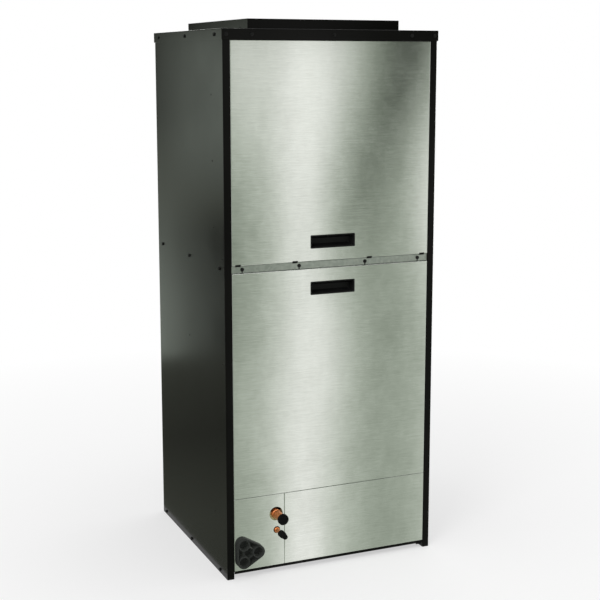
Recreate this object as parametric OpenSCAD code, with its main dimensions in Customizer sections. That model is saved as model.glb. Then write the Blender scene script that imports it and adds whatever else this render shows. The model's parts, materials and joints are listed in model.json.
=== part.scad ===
// Upflow air handler cabinet with an A shaped coil, a scroll blower and its controls.
// X runs across the front, -Y is the front, +Z is up. The origin is on the floor at the
// centre of the space that the cabinet and its pipe stubs take up.

/* [Cabinet] */
// Width across the side panels
body_w = 596; // [585:1:640]
// Depth from the front face to the rear face
body_d = 560; // [545:1:620]
// Height from the floor to the top of the cap
body_h = 1414; // [1400:1:1500]
// Thickness of the sheet steel
sheet = 1; // [0.8:0.1:1.2]
// Width of each corner post
post_w = 19.1; // [17:0.1:22]
// Depth of the folded return behind each corner post
post_return = 23; // [22:0.5:26]
// Width of the sealing lip behind each corner post
lip_w = 8; // [7:0.5:10]
// Width of the flanges that carry the rear panel
rear_flange = 20; // [18:0.5:26]
// Height of the floor pan above the ground
base_z = 13.5; // [12:0.5:18]
// Width of the return air opening in the floor pan
return_w = 420; // [380:5:440]
// Distance from the return air opening to the rear face
return_back = 80; // [60:5:120]
// Distance from the front face to the return air opening
return_y = 80; // [60:1:90]

/* [Cap and supply collar] */
// Height of the skirt round the cap
cap_skirt = 27; // [24:0.5:32]
// How far the skirt stands proud of the cabinet
cap_lip = 2.4; // [2.4:0.1:3.5]
// Height of the hem folded up inside the skirt
cap_hem = 8; // [5:0.5:10]
// Width of the supply collar
collar_w = 424; // [400:1:440]
// Distance from the supply collar to the rear face
collar_back = 40.5; // [32.5:0.5:67.5]
// Distance from the front face to the supply collar
collar_y = 52.5; // [46:0.5:60]
// Height of the supply collar above the cap
collar_h = 26; // [20:1:40]
// Width of the flange at the foot of the collar
collar_flange = 6; // [4:0.5:12]

/* [Front panels] */
// Height of the middle rail's centre line
rail_z = 817.8; // [800:0.2:840]
// Height of the middle rail's face
rail_h = 19.4; // [16:0.2:24]
// How far the middle rail's face is set back
rail_recess = 3; // [2:0.1:5]
// Height of the sealing lips on the rails
rail_lip = 10; // [8:0.5:12]
// Height of the seam below the lower panel
seam_z = 215.6; // [205:0.2:240]
// Height of the lower edge of the front panels
strip_z = 20.5; // [20:0.1:26]
// Distance from the left side to the upright seam
fitting_w = 160.2; // [158:0.2:190]
// Gap round each front panel
panel_gap = 0.4; // [0.3:0.1:0.8]
// Depth of the flanges round each front panel
panel_flange = 19; // [17:0.5:20]
// Width of the latch notches in the upper panel
notch_w = 15; // [8:0.5:18]
// Height of the latch notches in the upper panel
notch_h = 3; // [2:0.1:4]
// Distance from the sides to the two outer rail screws
latch_outer = 48; // [44:0.5:60]
// Distance from the sides to the two inner rail screws
latch_inner = 204; // [190:1:220]
// Distance from each rail screw out to its notch
latch_side = 12; // [9:0.5:14]

/* [Pull handles] */
// Width of each pull
pull_w = 126; // [100:1:150]
// Height of each pull
pull_h = 34.6; // [30:0.2:40]
// Depth of each pull
pull_d = 24; // [20:0.5:28]
// Height of the upper pull's centre
upper_pull_z = 877.5; // [860:0.5:920]
// Height of the lower pull's centre
lower_pull_z = 756.5; // [700:0.5:775]
// Width of the rim round each pull
pull_rim = 2.5; // [2:0.1:4]

/* [Insulation] */
// Thickness of the glass wool lining
liner_t = 20; // [16:0.5:22]
// Clearance between neighbouring pieces
seat_gap = 0.3; // [0.2:0.05:0.4]

/* [Pipe stubs] */
// Radius of the suction pipe
suction_r = 11.11; // [9.5:0.01:11.2]
// Distance from the left side to the suction pipe
suction_x = 137; // [132:0.5:138]
// Height of the suction pipe
suction_z = 162.6; // [158:0.2:170]
// Radius of the suction pipe's hole in the panel
suction_hole_r = 18.5; // [16:0.5:19]
// How far the bare suction pipe stands out
suction_reach = 43; // [36:0.5:48]
// Radius of the liquid pipe
liquid_r = 4.76; // [4:0.01:4.8]
// Distance from the left side to the liquid pipe
liquid_x = 138.7; // [134:0.1:142]
// Height of the liquid pipe
liquid_z = 117.9; // [112:0.1:122]
// Radius of the liquid pipe's hole in the panel
liquid_hole_r = 9.5; // [8:0.5:11]
// How far the bare liquid pipe stands out
liquid_reach = 27; // [22:0.5:32]
// How far the swaged sleeve of the suction pipe stands out
suction_swage = 4; // [2:0.5:8]
// How far the swaged sleeve of the liquid pipe stands out
liquid_swage = 3; // [1:0.5:6]
// Wall of the copper pipes
pipe_wall = 1.1; // [0.8:0.1:1.3]
// Radius of the suction plug's head
suction_plug_r = 14.5; // [12.5:0.1:16]
// Length of the suction plug's head
suction_plug_l = 9; // [7:0.5:12]
// Largest radius of the liquid plug
liquid_plug_r = 9; // [7:0.1:9.4]
// Radius of the liquid plug's tip
liquid_tip_r = 6.8; // [5:0.1:7]
// Length of the liquid plug outside the pipe
liquid_plug_l = 33; // [28:0.5:36]

/* [Drain fitting] */
// Distance from the left side to the two outer sockets
drain_x = 38.5; // [38:0.5:42]
// Distance from the left side to the inner socket
drain_mid_x = 78; // [74:0.5:84]
// Height of the lowest socket
drain_low_z = 51; // [51:0.5:54]
// Height of the middle socket
drain_mid_z = 74; // [72:0.5:78]
// Height of the highest socket
drain_high_z = 97; // [94:0.5:98]
// Bore radius of the sockets
socket_bore = 13.4; // [12:0.1:13.8]
// Outer radius of the sockets
socket_r = 15.7; // [15:0.1:16]
// Radius of the spigots behind the panel
spigot_r = 10; // [8.5:0.1:10.5]
// Radius of the shroud's corners
shroud_r = 18; // [17.2:0.1:18.2]
// How far the shroud stands out
shroud_reach = 24; // [18:0.5:30]
// Depth of the sockets
socket_depth = 22; // [14:0.5:24]

/* [Coil] */
// Height of the coil's feet
coil_foot_z = 54; // [52:0.5:60]
// Distance from the side faces to the coil's feet
coil_inset = 73; // [70:0.5:78]
// Lean of each slab from upright
coil_lean = 17.5; // [16.5:0.1:18.5]
// Half the thickness of each slab
slab_half = 28; // [24:0.5:29]
// Gap between the slabs at the top
apex_gap = 7; // [5:0.5:12]
// Distance from the front face to the fins
fin_y = 118; // [116:0.5:124]
// Distance from the fins to the rear face
fin_back = 60; // [57:1:82]
// Spacing of the fins
fin_pitch = 6; // [5:0.5:9]
// Thickness of each fin
fin_t = 1.2; // [0.8:0.1:1.6]
// Half the thickness of the solid part between the fin edges
core_half = 6; // [4:0.5:9]
// Spacing of the tubes along a slab
tube_pitch = 25.4; // [24:0.2:27]
// Distance of the tube rows from the middle of a slab
tube_row = 11; // [9:0.5:12]
// Radius of the coil's tubes
tube_r = 4.76; // [3.5:0.01:4.8]
// Thickness of the tube sheets
tube_sheet_t = 1.5; // [1:0.1:2]
// Depth of the tube sheets' flanges
tube_sheet_flange = 10; // [7:0.5:11]
// Distance from the front face to the suction headers
header_y = 66; // [65:0.5:68]

/* [Drain pan] */
// Height of the rails under the drain pan
pan_z = 34.5; // [33:0.1:34.8]
// Height of the drain pan
pan_h = 76; // [74:0.5:77]
// Height of the wall round the pan's air opening
pan_inner_h = 40; // [32:0.5:60]
// Wall of the drain pan
pan_t = 3; // [2.5:0.1:4]
// Distance from the front face to the drain pan
pan_y = 34; // [32:0.5:36]
// Width of the pan's side channels
channel_w = 92; // [88:0.5:96]
// Radius of the drain holes through the pan's wall
drain_hole_r = 6; // [4:0.5:8]

/* [Refrigerant parts] */
// Distance from the front face to the liquid line and valve
liquid_y = 40; // [38:0.5:40.5]
// Radius of the liquid line's bends
bend_r = 15; // [12:0.5:15]
// Height of the expansion valve's outlet
valve_z = 305; // [290:1:340]
// Length of the expansion valve below its body
valve_stem = 26; // [22:1:32]
// Radius of the expansion valve's body
valve_r = 12; // [10:0.5:13]
// Radius of the valve's power head
head_r = 17; // [15:0.5:18]
// Radius of the distributor's tubes
feed_r = 2.4; // [1.6:0.1:2.6]
// Radius of the sensing bulb
bulb_r = 6.5; // [5:0.5:7]
// Length of the sensing bulb
bulb_l = 60; // [40:1:80]

/* [Blower] */
// Distance from the top of the cap down to the blower deck
deck_drop = 114; // [94:1:134]
// Distance from the wheel's axis to the rear face
blower_back = 260; // [250:1:265]
// Distance from the wheel's axis up to the deck
blower_drop = 200; // [195:1:215]
// Radius of the blower wheel
wheel_r = 127; // [120:0.5:128]
// Width of the blower wheel
wheel_w = 254; // [240:1:258]
// Radial depth of the blades
blade_d = 19; // [16:0.5:22]
// Thickness of the blades
blade_t = 1.2; // [0.8:0.1:1.6]
// Number of blades on each side of the wheel
blade_n = 42; // [30:1:46]
// Forward sweep of the blades
blade_sweep = 10; // [6:0.5:14]
// Width between the housing's sides
housing_w = 290; // [284:1:300]
// Clearance between the wheel and the cut-off
cutoff_gap = 9; // [7:0.5:14]
// Growth of the scroll from the cut-off to the outlet
scroll_growth = 79; // [70:1:85]
// Throat radius of the inlet rings
inlet_r = 98; // [90:0.5:99]
// Radius of the rounded lip of the inlet rings
inlet_lip = 14; // [10:0.5:15]
// Width of the housing's seam flange
scroll_flange = 8; // [6:0.5:10]

/* [Motor] */
// Radius of the motor
motor_r = 68; // [60:0.5:70]
// Length of the motor
motor_l = 92; // [80:1:100]
// Distance from the wheel's disc to the motor
motor_x = 22; // [18:0.5:26]
// Radius of the shaft
shaft_r = 6.35; // [5:0.05:8]
// Radial clearance of the shaft in the motor
shaft_gap = 0.05; // [0.02:0.01:0.09]
// Radius of the wheel's hub
hub_r = 16; // [14:0.5:20]
// Length of the wheel's hub
hub_l = 38; // [30:1:44]
// Width of the motor's band
band_w = 26; // [20:1:32]
// Thickness of the band and the arms
band_t = 2; // [1.5:0.1:3]

/* [Controls] */
// Width of the control box
box_w = 300; // [280:1:360]
// Height of the control box
box_h = 180; // [170:1:220]
// Depth of the control box
box_d = 48; // [46:0.5:52]
// Distance from the front face to the control box
box_y = 30; // [28:0.5:32]
// Thickness of the circuit board
board_t = 1.6; // [1:0.1:2.4]
// Height of the circuit board's stand-offs
standoff = 8; // [5:0.5:10]
// Height of the circuit board above the box's floor
board_rise = 34; // [24:1:44]
// Distance from the circuit board to the box's side
board_inset = 16; // [12:1:22]

/* [Fasteners] */
// Radius of the screw shanks
screw_r = 2.1; // [1.8:0.1:2.4]
// Radius of the screw heads across the corners
screw_head_r = 4; // [3.5:0.1:4.5]
// Height of the screw heads
screw_head_h = 3.2; // [2.5:0.1:4.5]
// Length of the screw shanks
screw_l = 7; // [6:0.5:9]
// Distance from the front face to the first row of side screws
row_front = 42; // [36:1:50]
// Distance from the last row of side screws to the rear face
row_back = 42; // [36:1:50]
// Distance from the front face to the first skirt screw
skirt_front = 52; // [46:1:60]
// Distance from the front face to the first foot screw
foot_front = 58; // [52:1:66]
// Distance from the last foot screw to the rear face
foot_back = 30; // [26:1:36]
// Height of the foot screws
foot_screw_z = 8; // [7:0.5:9]
// Distance from the top of the cap down to the skirt screws
skirt_drop = 13.5; // [12:0.5:15]
// Distance from the sides to the skirt's corner screws
corner_in = 9; // [8:0.5:10]
// Distance from the sides to the skirt's other screws
skirt_in = 76; // [60:1:90]

/* [Hidden] */

steel = "silver";
enamel = [0.16, 0.16, 0.15];
copper = [0.78, 0.45, 0.28];
wool = [0.72, 0.7, 0.42];
half_w = body_w / 2;
tip_reach = liquid_reach + liquid_plug_l;
front_y = (tip_reach - body_d - cap_lip - screw_head_h) / 2;
side_top = body_h - sheet;
inner_x = half_w - sheet;
post_x = half_w - post_w;
lip_x = post_x - lip_w;
panel_x = post_x - panel_gap;
wool_x = inner_x - liner_t;
rail_lo = rail_z - rail_h / 2;
rail_hi = rail_z + rail_h / 2;
panel_top = body_h - cap_skirt - panel_gap;
seam_x = fitting_w - half_w;
lip_y = post_return;
seal_y = panel_flange + panel_gap;
rear_y = body_d - 2 * sheet;
return_d = body_d - return_y - return_back;
collar_d = body_d - collar_y - collar_back;
wool_back = rear_y - liner_t;
brace_h = 22;
brace_leg = 18;
brace_y = lip_y + 4;
base_top = base_z + sheet;

stub_x = suction_x - half_w;
feed_x = liquid_x - half_w;
swage_l = 20;
plug_gap = seat_gap;
stem_r = suction_r - pipe_wall - seat_gap;
stem_l = 22;
liquid_stem_r = liquid_r - pipe_wall - seat_gap;
liquid_stem_l = 18;

drains = [[drain_x - half_w, drain_low_z], [drain_x - half_w, drain_high_z],
    [drain_mid_x - half_w, drain_mid_z]];

pan_x = wool_x - 2;
pan_back = wool_back - 2;
pan_top = pan_z + pan_h;
floor_z = pan_z + pan_t;
open_x = pan_x - channel_w;
fin_l = body_d - fin_y - fin_back;
open_y0 = fin_y;
open_y1 = fin_y + fin_l;

foot_x = half_w - coil_inset;
slab_l = (foot_x - apex_gap / 2 - slab_half * cos(coil_lean)) / sin(coil_lean);
fin_y1 = fin_y + fin_l;
fin_n = floor((fin_l - fin_t) / fin_pitch);
circuits = floor(((slab_l - 4 * tube_r - 12) / tube_pitch + 1) / 4);
tubes = 4 * circuits;
tube_s0 = (slab_l - (tubes - 1) * tube_pitch) / 2;
sheet_y0 = fin_y - tube_sheet_t;
sheet_y1 = fin_y1 + tube_sheet_t;
header_r = suction_r;

function slab_pt(s, n) = [foot_x - s * sin(coil_lean) + n * cos(coil_lean),
    coil_foot_z + s * cos(coil_lean) + n * sin(coil_lean)];
function tube_s(i) = tube_s0 + i * tube_pitch;
// Distance along a slab at which a point on line n has the height z
function slab_s(z, n) = (z - coil_foot_z - n * sin(coil_lean)) / cos(coil_lean);

header_s0 = tube_s(0) - 14;
header_s1 = tube_s(tubes - 4) + 16;
cross_x = slab_pt(slab_s(suction_z, tube_row), tube_row)[0];

deck_skirt = 20;
deck_z = body_h - deck_drop;
blower_y = body_d - blower_back;
blower_z = deck_z - blower_drop;
cut_angle = 125;
cut_r = wheel_r + cutoff_gap;
scroll_step = 7.5;
blade_in = wheel_r - blade_d;
disc_t = 1.5;
ring_t = 2;
function scroll_r(t) = cut_r + scroll_growth * (t - cut_angle) / (360 - cut_angle);
outlet_u0 = cut_r * cos(cut_angle);
outlet_u1 = scroll_r(360);
hub_bore = shaft_r + shaft_gap;

control_z0 = deck_z - box_h;
board_y = box_y + box_d - sheet - standoff - board_t;

// The screws that hold the cabinet together: where each head sits and which way it faces
function three_rows(front, back) = [front, (front + body_d - back) / 2, body_d - back];
skirt_z = body_h - skirt_drop;
skirt_xs = [-half_w + skirt_in, 0, half_w - skirt_in];
corner_xs = [-half_w + corner_in, half_w - corner_in];
rear_zs = [for (i = [0:5]) 60 + i * (side_top - 110) / 5];
side_screws = concat(
    [for (s = [-1, 1], y = three_rows(skirt_front, row_back))
        [[s * (half_w + cap_lip), y, skirt_z], [s, 0, 0]]],
    [for (s = [-1, 1], y = three_rows(row_front, row_back)) [[s * half_w, y, rail_z], [s, 0, 0]]],
    [for (s = [-1, 1], y = three_rows(foot_front, foot_back))
        [[s * half_w, y, foot_screw_z], [s, 0, 0]]]);
front_screws = [for (x = concat(skirt_xs, corner_xs)) [[x, -cap_lip, skirt_z], [0, -1, 0]]];
back_screws = concat(
    [for (x = skirt_xs) [[x, body_d + cap_lip, skirt_z], [0, 1, 0]]],
    [for (s = [-1, 1], z = rear_zs) [[s * (half_w - rear_flange / 2), body_d, z], [0, 1, 0]]]);
all_screws = concat(side_screws, front_screws, back_screws);
latch_xs = [for (s = [-1, 1], inset = [latch_outer, latch_inner]) s * (half_w - inset)];

module in_cabinet() {
    translate([0, front_y, 0]) children();
}

// A block between two opposite corners
module block(a, b) {
    translate(a) cube([b[0] - a[0], b[1] - a[1], b[2] - a[2]]);
}

// Turns +Z to a horizontal or vertical direction
module face_to(d) {
    if (d[0] != 0) rotate([0, 90 * d[0], 0]) children();
    if (d[1] != 0) rotate([-90 * d[1], 0, 0]) children();
    if (d[2] != 0) children();
}

// A rod from a point, along a direction
module rod(at, dir, r, l) {
    translate(at) face_to(dir) cylinder(h = l, r = r, $fn = 48);
}

module screw_body() {
    cylinder(h = 0.8, r = screw_head_r + 1, $fn = 32);
    translate([0, 0, 0.8]) cylinder(h = screw_head_h - 0.8, r = screw_head_r, $fn = 6);
    translate([0, 0, -screw_l]) cylinder(h = screw_l, r = screw_r, $fn = 24);
}

module drill(screws) {
    for (s = screws)
        translate(s[0]) face_to(s[1]) translate([0, 0, -screw_l - 2])
            cylinder(h = screw_l + 4, r = screw_r + seat_gap, $fn = 24);
}

// A side panel seen from above: skin, corner post, sealing lip and rear flange
module side_outline() {
    translate([-half_w, 0]) square([sheet, body_d]);
    translate([-half_w, 0]) square([post_w, sheet]);
    translate([-post_x - sheet, 0]) square([sheet, lip_y + sheet]);
    translate([-post_x - sheet, lip_y]) square([lip_w + sheet, sheet]);
    translate([-half_w, body_d - sheet]) square([rear_flange, sheet]);
}

module side_panel() {
    foot_y = lip_y + 4;
    difference() {
        union() {
            linear_extrude(side_top) side_outline();
            block([-half_w, foot_y, 0], [-half_w + rear_flange, body_d, sheet]);
            block([-half_w, foot_y, side_top - sheet],
                [-half_w + rear_flange, body_d, side_top]);
        }
        drill(all_screws);
    }
}

module left_side_panel() {
    color(enamel) in_cabinet() side_panel();
}

module right_side_panel() {
    color(enamel) in_cabinet() mirror([1, 0, 0]) side_panel();
}

module rear_panel() {
    color(enamel) in_cabinet() difference() {
        block([-inner_x + seat_gap, rear_y, base_top + seat_gap],
            [inner_x - seat_gap, rear_y + sheet, side_top - sheet - seat_gap]);
        drill(back_screws);
    }
}

module top_cap() {
    edge_x = half_w + cap_lip;
    edge_y = body_d + cap_lip;
    skirt_z0 = body_h - cap_skirt;
    color(enamel) in_cabinet() difference() {
        union() {
            difference() {
                block([-edge_x, -cap_lip, skirt_z0], [edge_x, edge_y, body_h]);
                block([-edge_x + sheet, sheet - cap_lip, skirt_z0 - 1],
                    [edge_x - sheet, edge_y - sheet, side_top]);
            }
            difference() {
                block([-edge_x + sheet / 2, sheet / 2 - cap_lip, skirt_z0],
                    [edge_x - sheet / 2, edge_y - sheet / 2, skirt_z0 + cap_hem]);
                block([-edge_x + 2 * sheet, 2 * sheet - cap_lip, skirt_z0 - 1],
                    [edge_x - 2 * sheet, edge_y - 2 * sheet, skirt_z0 + cap_hem + 1]);
            }
        }
        block([-collar_w / 2 + sheet, collar_y + sheet, side_top - 1],
            [collar_w / 2 - sheet, collar_y + collar_d - sheet, body_h + 1]);
        drill(all_screws);
    }
}

module supply_collar() {
    x = collar_w / 2;
    y1 = collar_y + collar_d;
    color(enamel) in_cabinet() difference() {
        union() {
            block([-x, collar_y, body_h], [x, y1, body_h + collar_h]);
            block([-x - collar_flange, collar_y - collar_flange, body_h],
                [x + collar_flange, y1 + collar_flange, body_h + sheet]);
        }
        block([-x + sheet, collar_y + sheet, body_h - 1],
            [x - sheet, y1 - sheet, body_h + collar_h + 1]);
    }
}

module base_pan() {
    x = inner_x;
    color(enamel) in_cabinet() difference() {
        block([-x, lip_y + 4, sheet + seat_gap], [x, body_d - sheet, base_top]);
        block([-x + sheet, lip_y + 4 - 1, 0], [x - sheet, body_d - 2 * sheet, base_z]);
        block([-return_w / 2, return_y, base_z - 1],
            [return_w / 2, return_y + return_d, base_top + 1]);
        drill(side_screws);
    }
}

// A rail behind the front panels: face, two legs and sealing lips
module rail_section(z0, z1, recess, lip_down, lip_up) {
    block([-panel_x, recess, z0], [panel_x, recess + sheet, z1]);
    block([-panel_x, recess, z0], [panel_x, lip_y, z0 + sheet]);
    block([-panel_x, recess, z1 - sheet], [panel_x, lip_y, z1]);
    block([-lip_x + seat_gap, lip_y, z0 - lip_down],
        [lip_x - seat_gap, lip_y + sheet, z0 + sheet]);
    block([-lip_x + seat_gap, lip_y, z1 - sheet],
        [lip_x - seat_gap, lip_y + sheet, z1 + lip_up]);
}

module base_rail() {
    z1 = strip_z - panel_gap;
    ledge = 2 * panel_flange + 2;
    color(enamel) in_cabinet() {
        block([-panel_x, 0, base_z], [panel_x, sheet, z1]);
        block([-panel_x, 0, z1 - sheet], [panel_x, lip_y, z1]);
        block([-lip_x + seat_gap, lip_y, base_top],
            [lip_x - seat_gap, lip_y + sheet, z1 + rail_lip]);
        block([-lip_x + seat_gap, lip_y, base_top],
            [lip_x - seat_gap, lip_y + ledge, base_top + sheet]);
    }
}

module lower_rail() {
    z0 = seam_z - rail_lip - 5;
    color(enamel) in_cabinet() {
        block([-panel_x, lip_y + sheet, z0], [panel_x, lip_y + 2 * sheet, seam_z + rail_lip + 5]);
        block([1 - wool_x, lip_y + sheet, z0], [wool_x - 1, lip_y + 9, z0 + sheet]);
    }
}

module mid_rail() {
    color("gray") in_cabinet() difference() {
        rail_section(rail_lo + panel_gap, rail_hi - panel_gap, rail_recess, rail_lip, rail_lip);
        for (x = latch_xs) {
            rod([x, rail_recess - 1, rail_z], [0, 1, 0], screw_r + seat_gap, sheet + 2);
            block([x - screw_r / 2, rail_recess - 1, rail_lo + 2 * sheet],
                [x + screw_r / 2, rail_recess + sheet + 1, rail_z]);
        }
    }
}

module top_rail() {
    z0 = panel_top + panel_gap;
    color(enamel) in_cabinet() difference() {
        union() {
            block([-panel_x, 0, z0], [panel_x, sheet, side_top - seat_gap]);
            block([-panel_x, 0, z0], [panel_x, lip_y, z0 + sheet]);
            block([-lip_x + seat_gap, lip_y, z0 - rail_lip],
                [lip_x - seat_gap, lip_y + sheet, z0 + sheet]);
        }
        drill(front_screws);
    }
}

module side_brace() {
    z0 = rail_z - brace_h / 2;
    difference() {
        union() {
            block([-inner_x, brace_y, z0], [-inner_x + sheet, wool_back, z0 + brace_h]);
            block([-inner_x, brace_y, z0], [-inner_x + brace_leg, wool_back, z0 + sheet]);
            block([-inner_x, brace_y, z0 + brace_h - sheet],
                [-inner_x + brace_leg, wool_back, z0 + brace_h]);
        }
        drill(side_screws);
    }
}

module side_braces() {
    color("gray") in_cabinet() {
        side_brace();
        mirror([1, 0, 0]) side_brace();
    }
}

module pan_rail() {
    block([-inner_x, brace_y, base_top], [-inner_x + sheet, wool_back, pan_z]);
    block([-inner_x, brace_y, pan_z - sheet], [-open_x - channel_w / 2, wool_back, pan_z]);
}

module pan_rails() {
    color("gray") in_cabinet() {
        pan_rail();
        mirror([1, 0, 0]) pan_rail();
    }
}

// A front panel: a shallow tray with its flanges turned back
module tray(x0, x1, z0, z1) {
    difference() {
        block([x0, 0, z0], [x1, panel_flange, z1]);
        block([x0 + sheet, sheet, z0 + sheet], [x1 - sheet, panel_flange + 1, z1 - sheet]);
    }
}

module tray_wool(x0, x1, z0, z1) {
    block([x0 + sheet + seat_gap, sheet + seat_gap, z0 + sheet + seat_gap],
        [x1 - sheet - seat_gap, panel_flange - seat_gap, z1 - sheet - seat_gap]);
}

module pull_hole(z, grow) {
    x = pull_w / 2 - pull_rim + grow;
    h = pull_h / 2 - pull_rim + grow;
    block([-x, -1, z - h], [x, pull_d + 4, z + h]);
}

// A recessed pull: a rim on the face and a pocket with sloping walls
module pull(z) {
    rim_t = 1.2;
    wall = 1.6;
    back_x = pull_w / 2 - pull_rim - 7;
    back_h = pull_h / 2 - pull_rim - 5;
    mouth_x = pull_w / 2 - pull_rim - seat_gap;
    mouth_h = pull_h / 2 - pull_rim - seat_gap;
    translate([0, 0, z]) difference() {
        union() {
            block([-pull_w / 2, -rim_t, -pull_h / 2], [pull_w / 2, 0, pull_h / 2]);
            hull() {
                block([-mouth_x, -0.5, -mouth_h], [mouth_x, sheet, mouth_h]);
                block([-back_x, pull_d - 1, -back_h], [back_x, pull_d, back_h]);
            }
        }
        hull() {
            block([wall - mouth_x, -rim_t - 1, wall - mouth_h],
                [mouth_x - wall, 0, mouth_h - wall]);
            block([wall - back_x, pull_d - wall - 0.1, wall - back_h],
                [back_x - wall, pull_d - wall, back_h - wall]);
        }
    }
}

module upper_access_panel() {
    color(steel) in_cabinet() difference() {
        tray(-panel_x, panel_x, rail_hi + panel_gap, panel_top);
        pull_hole(upper_pull_z, 0);
        for (x = latch_xs)
            translate([x + sign(x) * latch_side - notch_w / 2, -1, rail_hi - 1])
                cube([notch_w, sheet + 2, notch_h + 1]);
    }
}

module upper_pull() {
    color([0.03, 0.03, 0.03]) in_cabinet() pull(upper_pull_z);
}

module upper_panel_liner() {
    color(wool) in_cabinet() difference() {
        tray_wool(-panel_x, panel_x, rail_hi + panel_gap, panel_top);
        pull_hole(upper_pull_z, seat_gap);
    }
}

module lower_access_panel() {
    color(steel) in_cabinet() difference() {
        tray(-panel_x, panel_x, seam_z + panel_gap, rail_lo - panel_gap);
        pull_hole(lower_pull_z, 0);
    }
}

module lower_pull() {
    color([0.03, 0.03, 0.03]) in_cabinet() pull(lower_pull_z);
}

module lower_panel_liner() {
    color(wool) in_cabinet() difference() {
        tray_wool(-panel_x, panel_x, seam_z + panel_gap, rail_lo - panel_gap);
        pull_hole(lower_pull_z, seat_gap);
    }
}

// The holes that the pipes and drain sockets pass through
module fitting_holes() {
    rod([stub_x, -1, suction_z], [0, 1, 0], suction_hole_r, panel_flange + 4);
    rod([feed_x, -1, liquid_z], [0, 1, 0], liquid_hole_r, panel_flange + 4);
    for (d = drains) rod([d[0], -1, d[1]], [0, 1, 0], spigot_r + 0.5, panel_flange + 4);
}

module fitting_panel() {
    color(steel) in_cabinet() difference() {
        tray(-panel_x, seam_x - panel_gap / 2, strip_z, seam_z - panel_gap);
        fitting_holes();
    }
}

module fitting_liner() {
    color(wool) in_cabinet() difference() {
        tray_wool(-panel_x, seam_x - panel_gap / 2, strip_z, seam_z - panel_gap);
        fitting_holes();
    }
}

module service_panel() {
    color(steel) in_cabinet()
        tray(seam_x + panel_gap / 2, panel_x, strip_z, seam_z - panel_gap);
}

module service_liner() {
    color(wool) in_cabinet()
        tray_wool(seam_x + panel_gap / 2, panel_x, strip_z, seam_z - panel_gap);
}

module side_wool() {
    low_z = pan_z + 6;
    brace_z = rail_z - brace_h / 2;
    y0 = brace_y + 2;
    block([-inner_x + seat_gap, y0, low_z], [-wool_x, wool_back, brace_z - seat_gap]);
    block([-inner_x + seat_gap, y0, brace_z + brace_h + seat_gap],
        [-wool_x, wool_back, deck_z - deck_skirt - 2]);
}

module left_liner() {
    color(wool) in_cabinet() side_wool();
}

module right_liner() {
    color(wool) in_cabinet() mirror([1, 0, 0]) side_wool();
}

module rear_liner() {
    color(wool) in_cabinet() difference() {
        block([-inner_x + seat_gap, wool_back + seat_gap, pan_z + 6],
            [inner_x - seat_gap, rear_y - seat_gap, deck_z - deck_skirt - 2]);
        drill(back_screws);
    }
}

// A foam strip along the flanges of one front panel, as a closed ring
module gasket(z0, z1, y0, y1) {
    difference() {
        block([-panel_x, y0, z0], [panel_x, y1, z1]);
        block([-lip_x, y0 - 1, z0 + rail_lip - 1], [lip_x, y1 + 1, z1 - rail_lip + 1]);
    }
}

module panel_gaskets() {
    color([0.08, 0.08, 0.08]) in_cabinet() {
        gasket(rail_hi + panel_gap, panel_top, seal_y, lip_y);
        gasket(seam_z + panel_gap, rail_lo - panel_gap, seal_y, lip_y);
        gasket(strip_z, seam_z - panel_gap, seal_y, lip_y);
        block([-lip_x, seal_y, seam_z + panel_gap],
            [lip_x, lip_y + sheet, seam_z + panel_gap + rail_lip - 1]);
        block([-lip_x, seal_y, seam_z - panel_gap - rail_lip + 1],
            [lip_x, lip_y + sheet, seam_z - panel_gap]);
    }
}

module blower_deck() {
    color("gray") in_cabinet() difference() {
        block([-inner_x, lip_y + 4, deck_z - deck_skirt], [inner_x, rear_y, deck_z + sheet]);
        block([-inner_x + sheet, lip_y + 4 + sheet, deck_z - deck_skirt - 1],
            [inner_x - sheet, rear_y - sheet, deck_z]);
        block([-housing_w / 2, blower_y + outlet_u0, deck_z - 1],
            [housing_w / 2, blower_y + outlet_u1, deck_z + sheet + 1]);
    }
}

// Places a drawing of the blower's side, front to the left, with the axis at its origin
module on_axis(x) {
    translate([x, blower_y, blower_z]) rotate([90, 0, 90]) children();
}

// The inside of the scroll: a spiral from the cut-off, then straight up to the outlet
module scroll_shape(grow, top) {
    polygon(concat(
        [for (t = [cut_angle:scroll_step:359])
            [(scroll_r(t) + grow) * cos(t), (scroll_r(t) + grow) * sin(t)]],
        [[outlet_u1 + grow, 0], [outlet_u1 + grow, top], [outlet_u0 - grow, top]]));
}

module blower_side() {
    linear_extrude(sheet) difference() {
        scroll_shape(scroll_flange, blower_drop);
        circle(inlet_r + inlet_lip, $fn = 96);
    }
    inlet_ring();
}

// The rounded ring that leads air into the wheel, curling in behind the side
module inlet_ring() {
    rotate_extrude($fn = 96) translate([inlet_r + inlet_lip, inlet_lip]) difference() {
        intersection() {
            circle(inlet_lip, $fn = 48);
            translate([-inlet_lip, -inlet_lip]) square([inlet_lip + 1, inlet_lip]);
        }
        circle(inlet_lip - sheet, $fn = 48);
    }
}

module left_blower_side() {
    color("silver") in_cabinet() on_axis(-housing_w / 2 - sheet) blower_side();
}

module right_blower_side() {
    color("silver") in_cabinet() on_axis(housing_w / 2 + sheet) mirror([0, 0, 1]) blower_side();
}

module scroll_wrap() {
    color("silver") in_cabinet() on_axis(-housing_w / 2) linear_extrude(housing_w)
        difference() {
            scroll_shape(sheet, blower_drop);
            scroll_shape(0, blower_drop + 1);
        }
}

function arc_pt(r, t) = [r * cos(t), r * sin(t)];
blade_steps = 4;
blade_inset = 0.6;
function blade_edge(shift) = [for (i = [0:blade_steps])
    let (k = i / blade_steps, r = blade_in + blade_inset + k * (blade_d - 2 * blade_inset))
    arc_pt(r, blade_sweep * k * k + shift / r * 180 / PI)];
function reversed(list) = [for (i = [len(list) - 1:-1:0]) list[i]];

module blade() {
    polygon(concat(blade_edge(-blade_t / 2), reversed(blade_edge(blade_t / 2))));
}

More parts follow.
